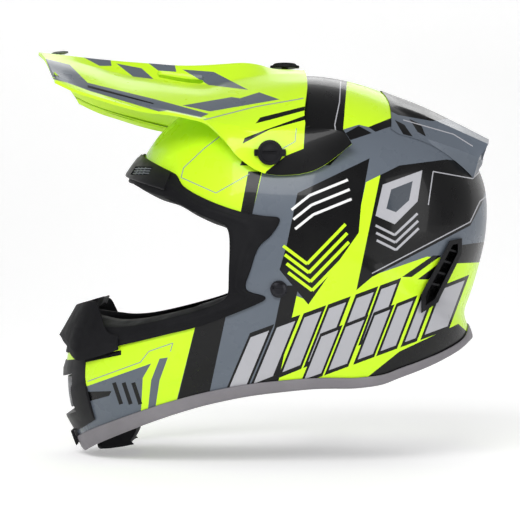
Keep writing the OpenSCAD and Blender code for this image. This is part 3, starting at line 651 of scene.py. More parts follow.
# Chevron stacks on the two side panels, and the blocks along the lower side.
SHELL_GRAPHICS += chevrons("neon", (24, -9), (4, -24), (-28, 9), (-1.4, -7.4), 4, 2.6)
SHELL_GRAPHICS += chevrons("white", (17, 21), (2, 33), (-30, 46), (-1.5, -8), 3, 2.2)
SHELL_GRAPHICS += chevrons("silver", (-53, 8), (-69, 0), (-88, 18), (-0.5, -6.2), 3, 2.0)
SHELL_GRAPHICS += block_row(
    [(68, -133), (-66, -79)], [(62, -88), (-66, -41)],
    [(0.03, 0.15), (0.20, 0.32), (0.38, 0.49), (0.54, 0.65), (0.72, 0.83), (0.88, 0.98)])
SHELL_GRAPHICS += block_row(
    [(3, -120), (-124, -73)], [(3, -88), (-124, -38)],
    [(0.03, 0.14), (0.19, 0.31), (0.38, 0.48), (0.53, 0.63), (0.69, 0.76), (0.82, 0.97)])
for x in (146, 154, 162):
    SHELL_GRAPHICS += stripes("coal", [(x - 3, -141), (x + 3, -123)], 3.4)

SPOILER_GRAPHICS = [
    ("coal", [(-48, 134), (-48, 112), (-72, 100), (-100, 95), (-120, 98), (-96, 112)]),
    ("coal", [(-69, 96), (-77, 92), (-84, 82), (-76, 84)]),
    ("coal", [(-81, 97), (-91, 92), (-95, 82), (-88, 86)]),
]
SPOILER_GRAPHICS += stripes("silver", [(-76, 96), (-118, 84), (-134, 74)], 0.8)

VISOR_GRAPHICS = [
    ("slate", [(222, 147), (202, 142), (187, 127), (130, 113), (86, 101), (93, 98), (120, 104), (128, 103),
               (185, 120), (204, 127), (216, 130)]),
    ("coal", [(187, 125), (132, 110), (132, 109), (187, 123)]),
    ("slate", [(194, 150), (168, 147), (167, 141), (177, 141)]),
    ("slate", [(163, 143), (142, 139), (132, 130), (149, 132)]),
    ("slate", [(140, 146), (115, 145), (113, 136), (128, 137)]),
    ("slate", [(108, 138), (82, 136), (53, 121), (86, 125)]),
    ("slate", [(108, 108), (67, 115), (60, 114), (44, 119), (27, 113), (85, 103)]),
    ("coal", [(47, 93), (43, 98), (7, 107), (2, 108), (2, 105), (35, 96)]),
    ("coal", [(58, 76), (56, 81), (38, 88), (2, 101), (2, 97), (35, 88)]),
    ("coal", [(2, 146), (2, 126), (4, 108), (6, 89), (7, 72), (22, 66), (38, 53), (52, 29), (-57, 29),
              (-57, 146)]),
]
VISOR_GRAPHICS += stripes("dim", [(90, 96), (47, 107), (7, 114)], 0.8)
VISOR_GRAPHICS += stripes("dim", [(13, 89), (14, 78), (28, 70)], 0.8)


def paint(name, base, shapes, rough=0.28, inner=None):
    """Gloss paint with a clear coat and slightly uneven gloss. Faces that look inwards are plain."""
    m = Material(name, Coat_Weight=0.22, Coat_Roughness=0.05, Specular_IOR_Level=0.16)
    parts = [m.math("MULTIPLY", m.axis(k, m.normals), m.axis(k)) for k in range(3)]
    faces_out = m.math("ADD", m.math("ADD", parts[0], parts[1]), parts[2])
    colour = m.mix(m.math("GREATER_THAN", faces_out, 0.0), inner or base, graphics(m, base, shapes))
    tint = m.range(m.noise(9.0, 2.0), 0.3, 0.7, 0.96, 1.03)
    m.set("Base Color", m.vector("SCALE", colour, tint))
    m.set("Roughness", m.range(m.noise(60.0, 4.0), 0.3, 0.7, rough - 0.04, rough + 0.06))
    m.bump(m.noise(260.0, 2.0), 0.006, 0.4)
    return m


def rubber(name, colour, grain=1500.0, rough=0.62, depth=0.05):
    """Matte moulded rubber with a fine grain and lighter worn patches."""
    m = Material(name, Specular_IOR_Level=0.13)
    worn = m.range(m.noise(26.0, 5.0, 0.6), 0.45, 0.75)
    lighter = tuple(min(1.0, c * 1.15 + 0.003) for c in colour)
    m.set("Base Color", m.mix(worn, colour, lighter))
    m.set("Roughness", m.range(m.noise(90.0, 4.0), 0.3, 0.7, rough - 0.08, rough + 0.1))
    m.bump(m.cells(grain), depth, 0.6)
    return m


def plastic(name, colour, rough=0.4, grain=900.0, depth=0.04):
    """Moulded plastic with a spark-eroded texture."""
    m = Material(name, Specular_IOR_Level=0.16)
    cloudy = m.range(m.noise(35.0, 3.0), 0.4, 0.7)
    m.set("Base Color", m.mix(cloudy, colour, tuple(c * 1.25 + 0.003 for c in colour)))
    m.set("Roughness", m.range(m.noise(120.0, 3.0), 0.3, 0.7, rough - 0.05, rough + 0.08))
    m.bump(m.noise(grain, 3.0, 0.6), depth, 0.7)
    return m


def metal(name, colour, rough=0.25, brush=(40.0, 900.0, 900.0)):
    """Metal with a brushed finish and faint tarnish."""
    m = Material(name, Metallic=1.0)
    along = m.vector("MULTIPLY", m.coords, brush)
    streak = m.noise(1.0, 3.0, 0.6, where=along)
    tarnish = m.range(m.noise(45.0, 4.0), 0.45, 0.75)
    m.set("Base Color", m.mix(tarnish, colour, tuple(c * 0.72 for c in colour)))
    m.set("Roughness", m.range(streak, 0.3, 0.7, rough - 0.08, rough + 0.12))
    m.bump(streak, 0.02, 0.4)
    return m


def knit(name, colour, scale=420.0):
    """Knitted liner fabric: rows of stitches, a little lint, and a soft sheen. The colour is darker in the
    hollows between the stitches: painted shade.
    """
    m = Material(name, Sheen_Weight=0.35, Sheen_Roughness=0.45, Specular_IOR_Level=0.2)
    wales = m.waves(scale, "DIAGONAL")
    courses = m.waves(scale * 0.8, "Z", distortion=1.2)
    cloth = m.math("MULTIPLY", wales, courses)
    lint = m.range(m.noise(70.0, 5.0, 0.65), 0.5, 0.75)
    # painted shade: the yarn colour is darkened where the stitch relief is low
    yarn = m.mix(cloth, tuple(c * 0.6 for c in colour), colour)
    m.set("Base Color", m.mix(lint, yarn, tuple(c * 1.7 for c in colour)))
    m.set("Roughness", m.range(cloth, 0.0, 1.0, 0.95, 0.8))
    m.bump(cloth, 0.25, 0.9)
    return m


def webbing_cloth(name, colour):
    """Woven strap: ribs across and a herringbone along. Its colour is lighter on the raised yarns and darker
    between them: painted highlight and painted shade.
    """
    m = Material(name, Sheen_Weight=0.2, Sheen_Roughness=0.4, Specular_IOR_Level=0.3)
    ribs = m.waves(260.0, "Y", distortion=0.6)
    yarn = m.waves(330.0, "X", distortion=0.4)
    over = m.math("MULTIPLY", ribs, yarn)
    under = m.math("MULTIPLY", m.math("SUBTRACT", 1.0, ribs), m.math("SUBTRACT", 1.0, yarn))
    weave = m.math("MAXIMUM", over, under)
    # painted highlight and shade: lighter where the weave is high, darker where it is low
    m.set("Base Color", m.mix(weave, tuple(c * 0.5 for c in colour), tuple(c * 1.5 for c in colour)))
    m.set("Roughness", m.range(weave, 0.0, 1.0, 0.9, 0.7))
    m.bump(weave, 0.3, 0.9)
    return m


def beads(name, colour):
    """Expanded polystyrene: pressed beads, with painted shade in the gaps between them."""
    m = Material(name, Specular_IOR_Level=0.3)
    edge = m.cells(330.0, "DISTANCE_TO_EDGE")
    bead = m.range(edge, 0.0, 0.12)
    # painted shade: the colour is darkened in the gaps between the beads, where the bump is low
    m.set("Base Color", m.mix(bead, tuple(c * 0.35 for c in colour), colour))
    m.set("Roughness", m.range(m.noise(80.0), 0.3, 0.7, 0.6, 0.85))
    m.bump(bead, 0.5, 0.8)
    return m


# The finish of each of the record's material slots.
FINISH = {
    "painted_shell": paint("shell_paint", SLATE, SHELL_GRAPHICS, inner=(0.012, 0.012, 0.013)),
    "visor_plastic": paint("visor_paint", NEON, VISOR_GRAPHICS, rough=0.3),
    "painted_spoiler": paint("spoiler_paint", SLATE, SPOILER_GRAPHICS),
    "black_rubber": rubber("black_rubber", BLACK),
    "grey_rubber": rubber("grey_rubber", (0.20, 0.19, 0.205), rough=0.5),
    "black_plastic": plastic("black_plastic", BLACK),
    "grey_plastic": plastic("grey_plastic", (0.13, 0.14, 0.16)),
    "bright_steel": metal("bright_steel", (0.66, 0.66, 0.68)),
    "steel_mesh": metal("steel_mesh", (0.45, 0.45, 0.47), 0.32),
    "black_metal": metal("black_metal", (0.035, 0.035, 0.04), 0.3),
    "eps_foam": beads("eps_foam", (0.02, 0.02, 0.022)),
    "liner_fabric": knit("liner_knit", (0.022, 0.022, 0.025)),
    "webbing": webbing_cloth("webbing_cloth", (0.014, 0.014, 0.016))}
PAD_KNIT = knit("pad_knit", (0.03, 0.03, 0.034), 360.0)
THREAD = knit("thread", (0.06, 0.06, 0.066), 900.0)

# ---------- shell ----------


def chin_crease(p):
    """Height of the soft fold along the chin bar, for points of the shell."""
    k = EYE_Y / (EYE_Y - np.abs(p[..., 1]))
    x = EYE[0] + (p[..., 0] - EYE[0]) * k
    z = EYE[1] + (p[..., 2] - EYE[1]) * k
    fold = [(26.6, -79.1), (76.6, -100.8), (105.8, -114.1), (189, -120.8), (215, -121)]
    line = curve(fold, np.clip(x, fold[0][0], fold[-1][0]))
    fade = smooth_step(30, 110, x) * smooth_step(10, 30, np.abs(p[..., 1]))
    above, below = 1 - (z - line) / 30, 1 - (line - z) / 12
    ridge = np.clip(np.where(z > line, above, below), 0, 1)
    return 1.9 * ridge * fade


def make_shell():
    az = np.linspace(0, 360, 216, endpoint=False)[None, :]
    u = np.linspace(0, 1, 84)[:, None] ** 1.15
    el = rim_el(az) + 1 + (CROWN_EL - rim_el(az) - 1) * u
    plain = skin(az, el)
    outer = skin(az, el, chin_crease(plain))
    inner = skin(az, el[::3], -SHELL_WALL)
    shell = bowl("shell_painted", outer, np.concatenate([inner, skin(az, el[-1:], -SHELL_WALL)]))
    tools = [eyeport_cutter(), patch("vent", VENT_AZ, VENT_EL, (-40, 20), 12, 6)]
    for side in (1, -1):
        tools.append(prism("slot", exhaust_outline(2.9), side * 60, side * 110))
        tools.append(side_rod("pivot", PIVOT, 90, side, INSERT_HOLE_R, 40))
        tools.append(side_rod("rivet", RIVET, 90, side, RIVET_HOLE_R, 50))
    tools.append(rod("top", (TOP_SCREW[0], 0, 110), (0, 0, 1), INSERT_HOLE_R, 30))
    cut(shell, tools)
    shell.data.set_sharp_from_angle(angle=math.radians(40))
    place(shell, "helmet", "painted_shell", "outer_shell")


def eyeport_loop(share):
    """Azimuth and elevation round the eyeport, at a share of the way across the rubber."""
    half = [(a + (c - a) * share, b + (d - b) * share) for a, b, c, d in EYEPORT]
    return spline(half + [(-a, e) for a, e in half[-2:0:-1]], 5, True)


def eyeport_cutter():
    loop = eyeport_loop(0.3)
    ring = skin(loop[:, 0], loop[:, 1])
    back, front = np.array([50, 0, -5]), np.array([300, 0, -15])
    shrink = lambda r, apex: apex + (r - apex) * 0.02
    near, far = ring * 0.6, ring * 1.2
    return loft("eyeport", np.stack([shrink(near, back), near, far, shrink(far, front)]))


def exhaust_outline(grow):
    """Corners of a rear exhaust's slot in side view, moved out by grow."""
    d = EXHAUST_RUN
    s = np.array([-d[1], d[0]]) * EXHAUST_W / 2
    p = np.array([EXHAUST_TOP, EXHAUST_TOP + s + d * 3, EXHAUST_END + s - d * 4, EXHAUST_END + d * 2,
                  EXHAUST_END - s * 1.4 - d * 6, EXHAUST_TOP - s + d * 6])
    n = len(p)
    made = []
    for i in range(n):
        a, b, c = p[i - 1], p[i], p[(i + 1) % n]
        u, v = (b - a) / np.linalg.norm(b - a), (c - b) / np.linalg.norm(c - b)
        nu, nv = np.array([-u[1], u[0]]), np.array([-v[1], v[0]])
        made.append(b + (nu + nv) / (1 + nu @ nv) * grow)
    return np.array(made)


make_shell()

# ---------- rubber edging ----------


def make_eyeport_trim():
    profile = [(1.0, 0.7), (1.0, 1.2), (0.985, 1.8), (0.95, 2.1), (0.72, 2.3), (0.66, 2.5), (0.60, 3.1),
               (0.52, 3.4), (0.42, 3.4), (0.36, 3.1), (0.30, 2.6), (0.12, 2.5), (0.03, 2.2), (0.0, 1.2),
               (0.0, -3.0), (0.0, -8.0), (0.01, -12.4), (0.06, -13.2), (0.14, -13.2), (0.18, -12.4),
               (0.18, -4.0), (0.18, 0.9)]
    rings = []
    for share, off in profile:
        loop = eyeport_loop(share)
        rings.append(skin(loop[:, 0], loop[:, 1], off))
    trim = hoop("eyeport_rubber", np.stack(rings, 1))
    place(trim, "helmet", "black_rubber", "eyeport_trim")


def make_base_trim():
    profile = [(2.8, 1.0), (2.75, 1.7), (2.45, 2.1), (1.6, 2.3), (0.8, 2.3), (0.2, 1.9), (-0.15, 0.9),
               (-0.25, -0.6), (-0.25, -2.6), (-0.1, -4.4), (0.25, -6.0), (0.9, -6.6), (1.7, -6.6),
               (2.2, -6.0), (2.25, -5.3), (0.9, -5.1), (0.8, -4.6), (0.8, 0.6), (0.9, 0.9)]
    az = np.linspace(0, 360, 240, endpoint=False)[:, None]
    rise, off = np.array(profile).T[:, None, :]
    trim = hoop("base_rubber", skin(az, rim_el(az) + rise, off))
    place(trim, "helmet", "grey_rubber", "base_trim")


make_eyeport_trim()
make_base_trim()

# ---------- visor ----------


def visor_columns():
    """Visor surface on a fine grid, with its folds kept sharp, and the columns of the folds."""
    rails = np.array(VISOR_RAILS, float)
    rails = np.stack([spline(r, 6) for r in rails])
    sections = ((0, 1), (1, 2), (2, 5), (5, 7))
    columns, folds = [], []
    for first, last in sections:
        piece = rails[first:last + 1]
        if first == 0:
            piece = both_sides(piece)
            fine = spline(piece, 5)[5:]
        else:
            fine = spline(piece, 5)
        columns += list(fine if first == 0 else fine[1:])
        folds.append(len(columns) - 1)
    return np.array(columns), folds[:-1]


def make_visor():
    half, folds = visor_columns()
    full = both_sides(half)
    n, m = full.shape[:2]
    visor = new_object("visor_blade", full, grid_faces(n, m))
    middle = len(half) - 1
    sharp = set(middle + f for f in folds) | set(middle - f for f in folds)
    edit = bmesh.new()
    edit.from_mesh(visor.data)
    edit.verts.ensure_lookup_table()
    chosen = [e for e in edit.edges if all(v.index // m in sharp for v in e.verts)
              and e.verts[0].index // m == e.verts[1].index // m]
    bmesh.ops.bevel(edit, geom=chosen, offset=1.6 * MM, segments=3, profile=0.6, affect="EDGES")
    edit.normal_update()
    if sum(f.normal.z for f in edit.faces) < 0:
        bmesh.ops.reverse_faces(edit, faces=edit.faces)
    edit.to_mesh(visor.data)
    edit.free()
    modify(visor, "SOLIDIFY", thickness=VISOR_WALL * MM, offset=-1.0, use_even_offset=False)
    finished(visor)
    tools = []
    for side in (1, -1):
        tools.append(side_rod("pivot", PIVOT, 100, side, SHANK_R + 0.6, 30))
        tools.append(slot_tool([(92, 31, 0), (124, 27, 0)], 3.2, 110, 155, side))
    tools.append(slot_tool([(TOP_SCREW[0] - SLOT_TRAVEL / 2, 0, 0), (TOP_SCREW[0] + SLOT_TRAVEL / 2, 0, 0)],
                           SHANK_R + 1.6, 125, 155, 1))
    cut(visor, tools)
    soft_edges(visor, 0.5, 50)
    place(visor, "visor", "visor_plastic", "visor")


def slot_tool(ends, r, z0, z1, side):
    """Upright prism with round ends between two points."""
    a, b = np.array(ends[0], float), np.array(ends[1], float)
    a[1] *= side
    b[1] *= side
    t = math.atan2(b[1] - a[1], b[0] - a[0])
    arc = np.linspace(-np.pi / 2, np.pi / 2, 12)
    ring = [b + r * np.array([math.cos(t + s), math.sin(t + s), 0]) for s in arc]
    ring += [a - r * np.array([math.cos(t + s), math.sin(t + s), 0]) for s in arc]
    ring = np.array(ring)
    return loft("slot", np.stack([ring + [0, 0, z0], ring + [0, 0, z1]]))


make_visor()

# ---------- spoiler and exhausts ----------


def outside_shell(points, off):
    """Points, with those that lie under the shell's surface brought up to it."""
    r = np.linalg.norm(points, axis=-1)
    az = np.degrees(np.arctan2(points[..., 1], points[..., 0]))
    el = np.degrees(np.arcsin(points[..., 2] / r))
    surface = skin(az, el, off)
    return np.where((np.linalg.norm(surface, axis=-1) > r)[..., None], surface, points)


def turned_box(name, side, centre, low, high):
    """Box that is turned to the spoiler's corner on one side. Its centre is given for the left."""
    cos, sin = math.cos(math.radians(GRILLE_TURN)), side * math.sin(math.radians(GRILLE_TURN))
    turn = np.array([[cos, -sin, 0], [sin, cos, 0], [0, 0, 1]])
    (x0, y0, z0), (x1, y1, z1) = low, high
    ring = lambda z: [turn @ (x, y, z) + (centre[0], centre[1] * side, centre[2])
                      for x, y in ((x0, y0), (x1, y0), (x1, y1), (x0, y1))]
    return loft(name, np.array([ring(z0), ring(z1)]))


def make_spoiler():
    rails = both_sides(np.array(SPOILER_RAILS, float))
    rails = np.stack([spline(r, 10) for r in rails])
    across = []
    for a, b in zip(rails, rails[1:]):
        across += [a + (b - a) * t for t in np.linspace(0, 1, 9)[:-1]]
    top = np.stack(across + [rails[-1]], 1)
    arch = 1.6 * np.cos(np.linspace(-1, 1, top.shape[1]) * np.pi / 2) ** 2
    top[..., 2] += arch * smooth_step(-60, -100, top[..., 0])
    top = outside_shell(top, 0.6)
    low = outside_shell(top * [1, 0.86, 1] + [4, 0, -16], 0.45)
    spoiler = loft("spoiler_painted", np.concatenate([top, low[:, ::-1]], 1))
    cut(spoiler, [turned_box("slot", side, (-133, 50, 62), (-8, -4, -2.5), (8, 4, 2.5)) for side in (1, -1)])
    soft_edges(spoiler, 0.7, 24, 3)
    place(spoiler, "helmet", "painted_spoiler", "rear_spoiler")


def make_exhausts():
    slab = lambda off: patch("slab", (116, 160), (-34, 8), off, 44, 42)
    flange = combine(prism("exhaust", exhaust_outline(3.6), 60, 120), "INTERSECT", [slab((0.6, 2.5))])
    neck = combine(prism("neck", exhaust_outline(2.4), 60, 120), "INTERSECT", [slab((-3.4, 1.6))])
    combine(flange, "UNION", [neck])
    inner = prism("opening", exhaust_outline(0), 50, 130)
    fins = []
    for t in (12, 22, 32, 42):
        p = EXHAUST_TOP + EXHAUST_RUN * t
        fin = prism("fin", [p + (-6, 3), p + (6, 6), p + (6, 7.6), p + (-6, 4.6)], 60, 120)
        fins.append(combine(fin, "INTERSECT", [slab((-3.2, 1.2))]))
    combine(inner, "DIFFERENCE", fins)
    cut(flange, [inner])
    for side, name in ((1, "left"), (-1, "right")):
        piece = clone(flange, "exhaust_" + name, side < 0)
        soft_edges(piece, 0.4, 30)
        place(piece, "helmet", "black_plastic", "rear_exhaust_" + name)
    bpy.data.objects.remove(flange)


def make_spoiler_louvres():
    bars = [(-5, 5, -2.3, -1.7), (-5, 5, 1.7, 2.3)] + [(x, x + 1, -1.7, 1.7) for x in (-5, -1, 3)]
    louvres = [turned_box("louvre", side, (-128.6, 52, 62), (x0, -3.6, z0), (x1, 3.6, z1))
               for side in (1, -1) for x0, x1, z0, z1 in bars]
    louvres = soft_edges(joined("spoiler_louvres", louvres), 0.15, 30)
    place(louvres, "helmet", "black_plastic", "spoiler_vent_grilles")


make_spoiler()
make_spoiler_louvres()
make_exhausts()

# ---------- brow vent and nose guard ----------

BROW_AZ = 36


def make_brow_vent():
    az = np.linspace(-BROW_AZ, BROW_AZ, 97)[:, None]
    k = np.abs(az) / BROW_AZ
    top, low = 25.4 - 6.2 * k**1.6, 17.4 - 4.4 * k**1.6
    profile = [(0, 2.9, 0), (0.0, 3.4, 0), (0.05, 3.7, 0), (0.2, 4.3, 0.1), (0.45, 5.1, 0.5), (0.7, 5.8, 0.9),
               (0.86, 6.2, 1), (0.93, 6.1, 1), (0.98, 5.6, 1), (1.0, 4.9, 0.7), (1.0, 3.0, 0), (0.5, 2.9, 0)]
    share, off, fall = np.array(profile).T[:, None, :]
    spine = 1.1 * np.exp(-(az / 2.2) ** 2) * (off > 4)
    hood = loft("brow_hood", skin(az, top + (low - top) * share, off - 1.2 * fall * k**2 + spine))
    cut(hood, [patch("window", (side * 14.2, side * 26.8), (17.5, 20.3), (3.6, 14), 16, 6)
               for side in (1, -1)])
    soft_edges(hood, 0.5, 28, 3)
    place(hood, "helmet", "black_plastic", "brow_vent")


def make_brow_grilles():
    bars = []
    for side in (1, -1):
        for e in (17.95, 18.7, 19.45):
            bars.append(patch("bar", (side * 14.6, side * 26.4), (e, e + 0.32), (4.0, 5.0), 14, 1))
        for a in (17.2, 19.8, 22.4):
            bars.append(patch("rib", (side * a, side * (a + 0.5)), (17.7, 20.1), (3.9, 4.7), 2, 4))
    grille = joined("brow_grille", bars)
    soft_edges(grille, 0.15, 30)
    place(grille, "helmet", "grey_plastic", "brow_vent_mesh")


GUARD_LOW = [(-10, -23.6), (0, -22.4), (10, -23.8), (15, -26), (19, -27.2), (30, -27), (34, -26)]
GUARD_TOP = [(-10, -16.8), (0, -16.7), (10, -16.2), (20, -16.2), (23, -18.6), (27, -23), (34, -25)]
GUARD_BACK = [(-10, -22), (0, -22), (8, -18), (13, -8), (17, 3), (34, 3)]
BRINK = [(a, b) for a, b, _, _ in EYEPORT[:16:-1]]


def make_nose_guard():
    az = np.linspace(-30, 30, 101)
    b = np.abs(az)
    low, top = curve(GUARD_LOW, b), curve(GUARD_TOP, b)
    seat = TRIM_WALL + 1.6
    deep = np.minimum(seat, curve(GUARD_BACK, b)) - 0.1
    under = np.where(b < 21.5, np.maximum(top - 2, curve(BRINK, b) + 0.6), top - 0.8)
    beak = 7.5 * np.clip(1 - b / 13, 0, 1)
    ridge = curve([(-10, 1), (0, 1), (9, 1.2), (16, 2.4), (21, 1.4), (25, 0.9), (34, 0.8)], b)
    ones = np.ones_like(az)
    ring = [(low, seat * ones), (low, seat + 1.2 * ridge + 0.6 * beak),
            (low + (top - low) * 0.16, seat + 2.0 * ridge + beak),
            (low + (top - low) * 0.55, seat + 2.4 * ridge + 0.35 * beak), (top, seat + 0.8 * ridge),
            (top, deep + 1.0), (top - 0.3, deep), (under, deep), (under, seat * ones),
            ((low + under) / 2, seat * ones)]
    rings = np.stack([skin(az, e, o) for e, o in ring], 1)
    guard = loft("nose_rubber", rings)
    soft_edges(guard, 0.6, 14, 3)
    place(guard, "helmet", "black_rubber", "nose_guard")


make_brow_vent()
make_brow_grilles()
make_nose_guard()

# ---------- chin vent ----------

FASCIA_AZ = 18.5
VENT_WALL_X = 178.4
VENT_Z = -112
SLOT_PITCH = 7


def make_vent_housing():
    az = np.linspace(-FASCIA_AZ, FASCIA_AZ, 73)[:, None]
    s = (np.abs(az) / FASCIA_AZ) ** 2
    top, low = -26.8 - 0.4 * s, -39.6 + 0.8 * s
    level = lambda e: np.full_like(az, e)
    mix = lambda a, b: a + (b - a) * s
    bulge = [(-36.5, 4.2, 2.3), (-34, 5.2, 2.6), (-32.6, 5.5, 2.6), (-31.6, 5.2, 2.4), (-31.2, 3.2, 2),
             (-30.4, 2.8, 1.9), (-28, 2.8, 1.8)]
    ring = [(low, level(0.8)), (low + 0.2, level(1.4)), (low + 0.6, level(2.0))]
    ring += [(level(e), mix(middle, end)) for e, middle, end in bulge]
    ring += [(top, level(1.2)), (top, level(0.8))]
    ring += [(top + (low - top) * k, level(0.8)) for k in np.linspace(0.15, 0.85, 8)]
    body = loft("chin_vent_body", np.concatenate([skin(az, e, o) for e, o in ring], 1))
    inward = np.array([1, -1])
    tube = lambda name, shrink, off: patch(name, VENT_AZ + shrink * inward, VENT_EL + 0.8 * shrink * inward,
                                           off, 30, 10)
    combine(body, "UNION", [tube("duct", 0.5, (-34, 1))])
    bore = tube("bore", 1.7, (-40, 12))
    walls = [block("wall", (VENT_WALL_X - 2, -50, -150), (VENT_WALL_X, 50, -70))]
    for y0, y1 in ((34, 54), (-54, -34)):
        walls.append(block("rail", (VENT_WALL_X - 7, y0, -150), (VENT_WALL_X - 5.2, y1, -70)))
    cut(bore, walls)
    cut(body, [bore])
    slots = [block("slot", (VENT_WALL_X - 4, -31, VENT_Z + i * SLOT_PITCH - 1.75),
                   (VENT_WALL_X + 2, 31, VENT_Z + i * SLOT_PITCH + 1.75)) for i in (-1, 0, 1)]
    cut(body, slots)
    cut(body, [block("end", (140, -60, -150), (VENT_WALL_X - 7, 60, -70))])
    soft_edges(body, 0.5, 30)
    place(body, "helmet", "black_plastic", "chin_vent_housing")


def make_vent_mesh():
    """Expanded metal: a lattice of diamonds on the shell's curve."""
    rows, columns = 17, 45
    az = np.linspace(VENT_AZ[0] + 2.3, VENT_AZ[1] - 2.3, columns)
    el = np.linspace(VENT_EL[0] + 2.0, VENT_EL[1] - 2.0, rows)
    points = skin(az[:, None], el[None, :], -2.4)
    at = lambda i, j: i * rows + j
    faces = [(at(i - 1, j), at(i, j - 1), at(i + 1, j), at(i, j + 1))
             for i in range(1, columns - 1) for j in range(1, rows - 1) if (i + j) % 2]
    mesh = bpy.data.meshes.new("chin_mesh")
    mesh.from_pydata((points.reshape(-1, 3) * MM).tolist(), [], faces)
    obj = linked("chin_mesh", mesh)
    edit = bmesh.new()
    edit.from_mesh(mesh)
    bmesh.ops.delete(edit, geom=[v for v in edit.verts if not v.link_faces], context="VERTS")
    bmesh.ops.recalc_face_normals(edit, faces=edit.faces)
    edit.to_mesh(mesh)
    edit.free()
    modify(obj, "WIREFRAME", thickness=0.75 * MM, use_even_offset=False, use_boundary=True)
    finished(obj)
    place(obj, "helmet", "steel_mesh", "chin_vent_mesh")


def make_chin_curtain():
    """Soft flap under the chin."""
    y = np.linspace(-23, 23, 41)[:, None]
    profile = [(168, -159), (173, -164.5), (177, -170), (178.6, -174), (178, -176.4), (170, -176),
               (160, -174.6), (151, -172.8), (148, -170), (145, -165), (143, -161), (146.5, -156.5),
               (150, -152.4), (152, -151.4), (156, -150.6), (160, -150)]
    px, pz = np.array(profile).T[:, None, :]
    back = 5 * (np.abs(y) / 23) ** 2.2
    x = px - back * (px > 150) + 1.5 * (back / 5) * (px < 150)
    ripple = 0.5 * np.sin(y / 4.0) * (pz < -168)
    z = pz + 0.25 * back + ripple
    flap = loft("chin_flap", np.stack([x, np.broadcast_to(y, x.shape), z], -1))
    soft_edges(flap, 0.8, 30)
    place(flap, "helmet", "black_rubber", "chin_curtain")


make_vent_housing()
make_vent_mesh()
make_chin_curtain()

# ---------- visor screws ----------


def make_knob(name, base, axis, length):
    """Thumb screw with two ears, a knurled rim and a coin slot. Its axis points out of its head."""
    base, axis = np.array(base, float), np.array(axis, float)
    side = np.array([1.0, 0, 0])
    other = np.cross(axis, side)
    t = np.linspace(0, 2 * np.pi, 180, endpoint=False)
    disc = 9.6 + 0.16 * np.cos(36 * t)
    half = 2.6
    ear = np.minimum(12.2, half / np.maximum(np.abs(np.sin(t)), 0.02))
    plan = np.where(ear > disc, ear, disc)
    # Height, greatest radius and share of it, from the base up and in to the middle of the head.
    levels = [(0, 99, 0.96), (0.35, 99, 1.0), (1.9, 99, 1.0), (2.3, 10.6, 0.98), (2.9, 9.7, 1.0),
              (3.5, 9.6, 0.96), (3.8, 9.5, 0.9), (3.7, 7.6, 1.0), (3.1, 6.9, 1.0), (3.0, 5.0, 1.0),
              (3.35, 3.6, 1.0), (3.5, 1.0, 1.0)]
    rings = []
    for height, most, grow in levels:
        r = (np.minimum(plan, most) * grow)[:, None]
        rings.append(base + axis * height + r * (np.cos(t)[:, None] * side + np.sin(t)[:, None] * other))
    head = loft(name, np.stack(rings))
    slot = [base + axis * h + side * x + other * y for h in (2.1, 5.0)
            for x, y in ((-5.6, -1.2), (5.6, -1.2), (5.6, 1.2), (-5.6, 1.2))]
    cut(head, [loft("slot", np.array(slot).reshape(2, 4, 3))])
    shank = rod("shank", base + axis * 0.4, -axis, SHANK_R, length, 40)
    knob = joined(name + "_knob", [head, shank])
    soft_edges(knob, 0.3, 34)
    place(knob, name, "black_plastic", name)


make_knob("visor_screw_left", (PIVOT[0], PIVOT_Y + 0.8, PIVOT[1]), (0, 1, 0), 16.2)
make_knob("visor_screw_right", (PIVOT[0], -PIVOT_Y - 0.8, PIVOT[1]), (0, -1, 0), 16.2)
make_knob("visor_screw_top", (TOP_SCREW[0], 0, TOP_SCREW[1] + 1.8), (0, 0, 1), 14.2)

# ---------- foam and liner ----------


def groove(distance, width):
    """Depth, from 0 to 1, of a sewn channel at a distance from its line."""
    return np.exp(-(distance / width) ** 2)


def make_foam_liner():
    az = np.linspace(0, 360, 180, endpoint=False)[None, :]
    u = np.linspace(0, 1, 46)[:, None]
    el = eps_el(az) + (CROWN_EL - eps_el(az)) * u
    outer = skin(az, el, -SHELL_WALL - 3.0)
    dome = bowl("foam_dome", outer, hollow(az, el))
    wells = [side_rod("well", PIVOT, 92, side, WELL_R, 38) for side in (1, -1)]
    cut(dome, wells + [rod("well", (TOP_SCREW[0], 0, 113), (0, 0, 1), WELL_R, 27)])
    soft_edges(dome, 0.6, 40)
    place(dome, "helmet", "eps_foam", "eps_liner")


def make_comfort_liner():
    """Quilted dome: puffed panels between sewn channels, and a rolled hem at its edge."""
    az = np.linspace(0, 360, 288, endpoint=False)[None, :]
    u = np.linspace(0, 1, 90)[:, None]
    edge = eps_el(az) + 1.5
    el = edge + (CROWN_EL - edge) * u
    outer = hollow(az, el, 1.3)
    spokes = np.abs((az + 22.5) % 45 - 22.5) * np.cos(np.radians(el)) * 1.6
    rings = np.minimum(np.abs(el - 62) * 1.6, np.abs(el - 38) * 1.6)
    seam = np.maximum(groove(spokes, 2.6) * smooth_step(0.04, 0.1, u), groove(rings, 2.8))
    hem = groove((u - 0.075) * 60, 1.1)
    puff = 1.5 * np.cos(np.clip(spokes / 34, 0, 1) * np.pi / 2) - 1.5
    inset = COMFORT_WALL + puff - 3.0 * seam - 2.6 * hem - 4.5 * (1 - smooth_step(0, 0.03, u))
    liner = bowl("quilted_liner", outer, hollow(az, el, np.minimum(inset, COMFORT_WALL)))
    place(liner, "helmet", "liner_fabric", "comfort_liner")


CLOTH_FRAMES = 20


def swell(obj, voxel, cap):
    """Puffs a closed soft shape up with air pressure. No point moves further than cap millimetres."""
    modify(obj, "REMESH", mode="VOXEL", voxel_size=voxel * MM, use_smooth_shade=True)
    finished(obj)
    inflate(obj, cap)
    modify(obj, "SUBSURF", levels=1, render_levels=1)
    return finished(obj)


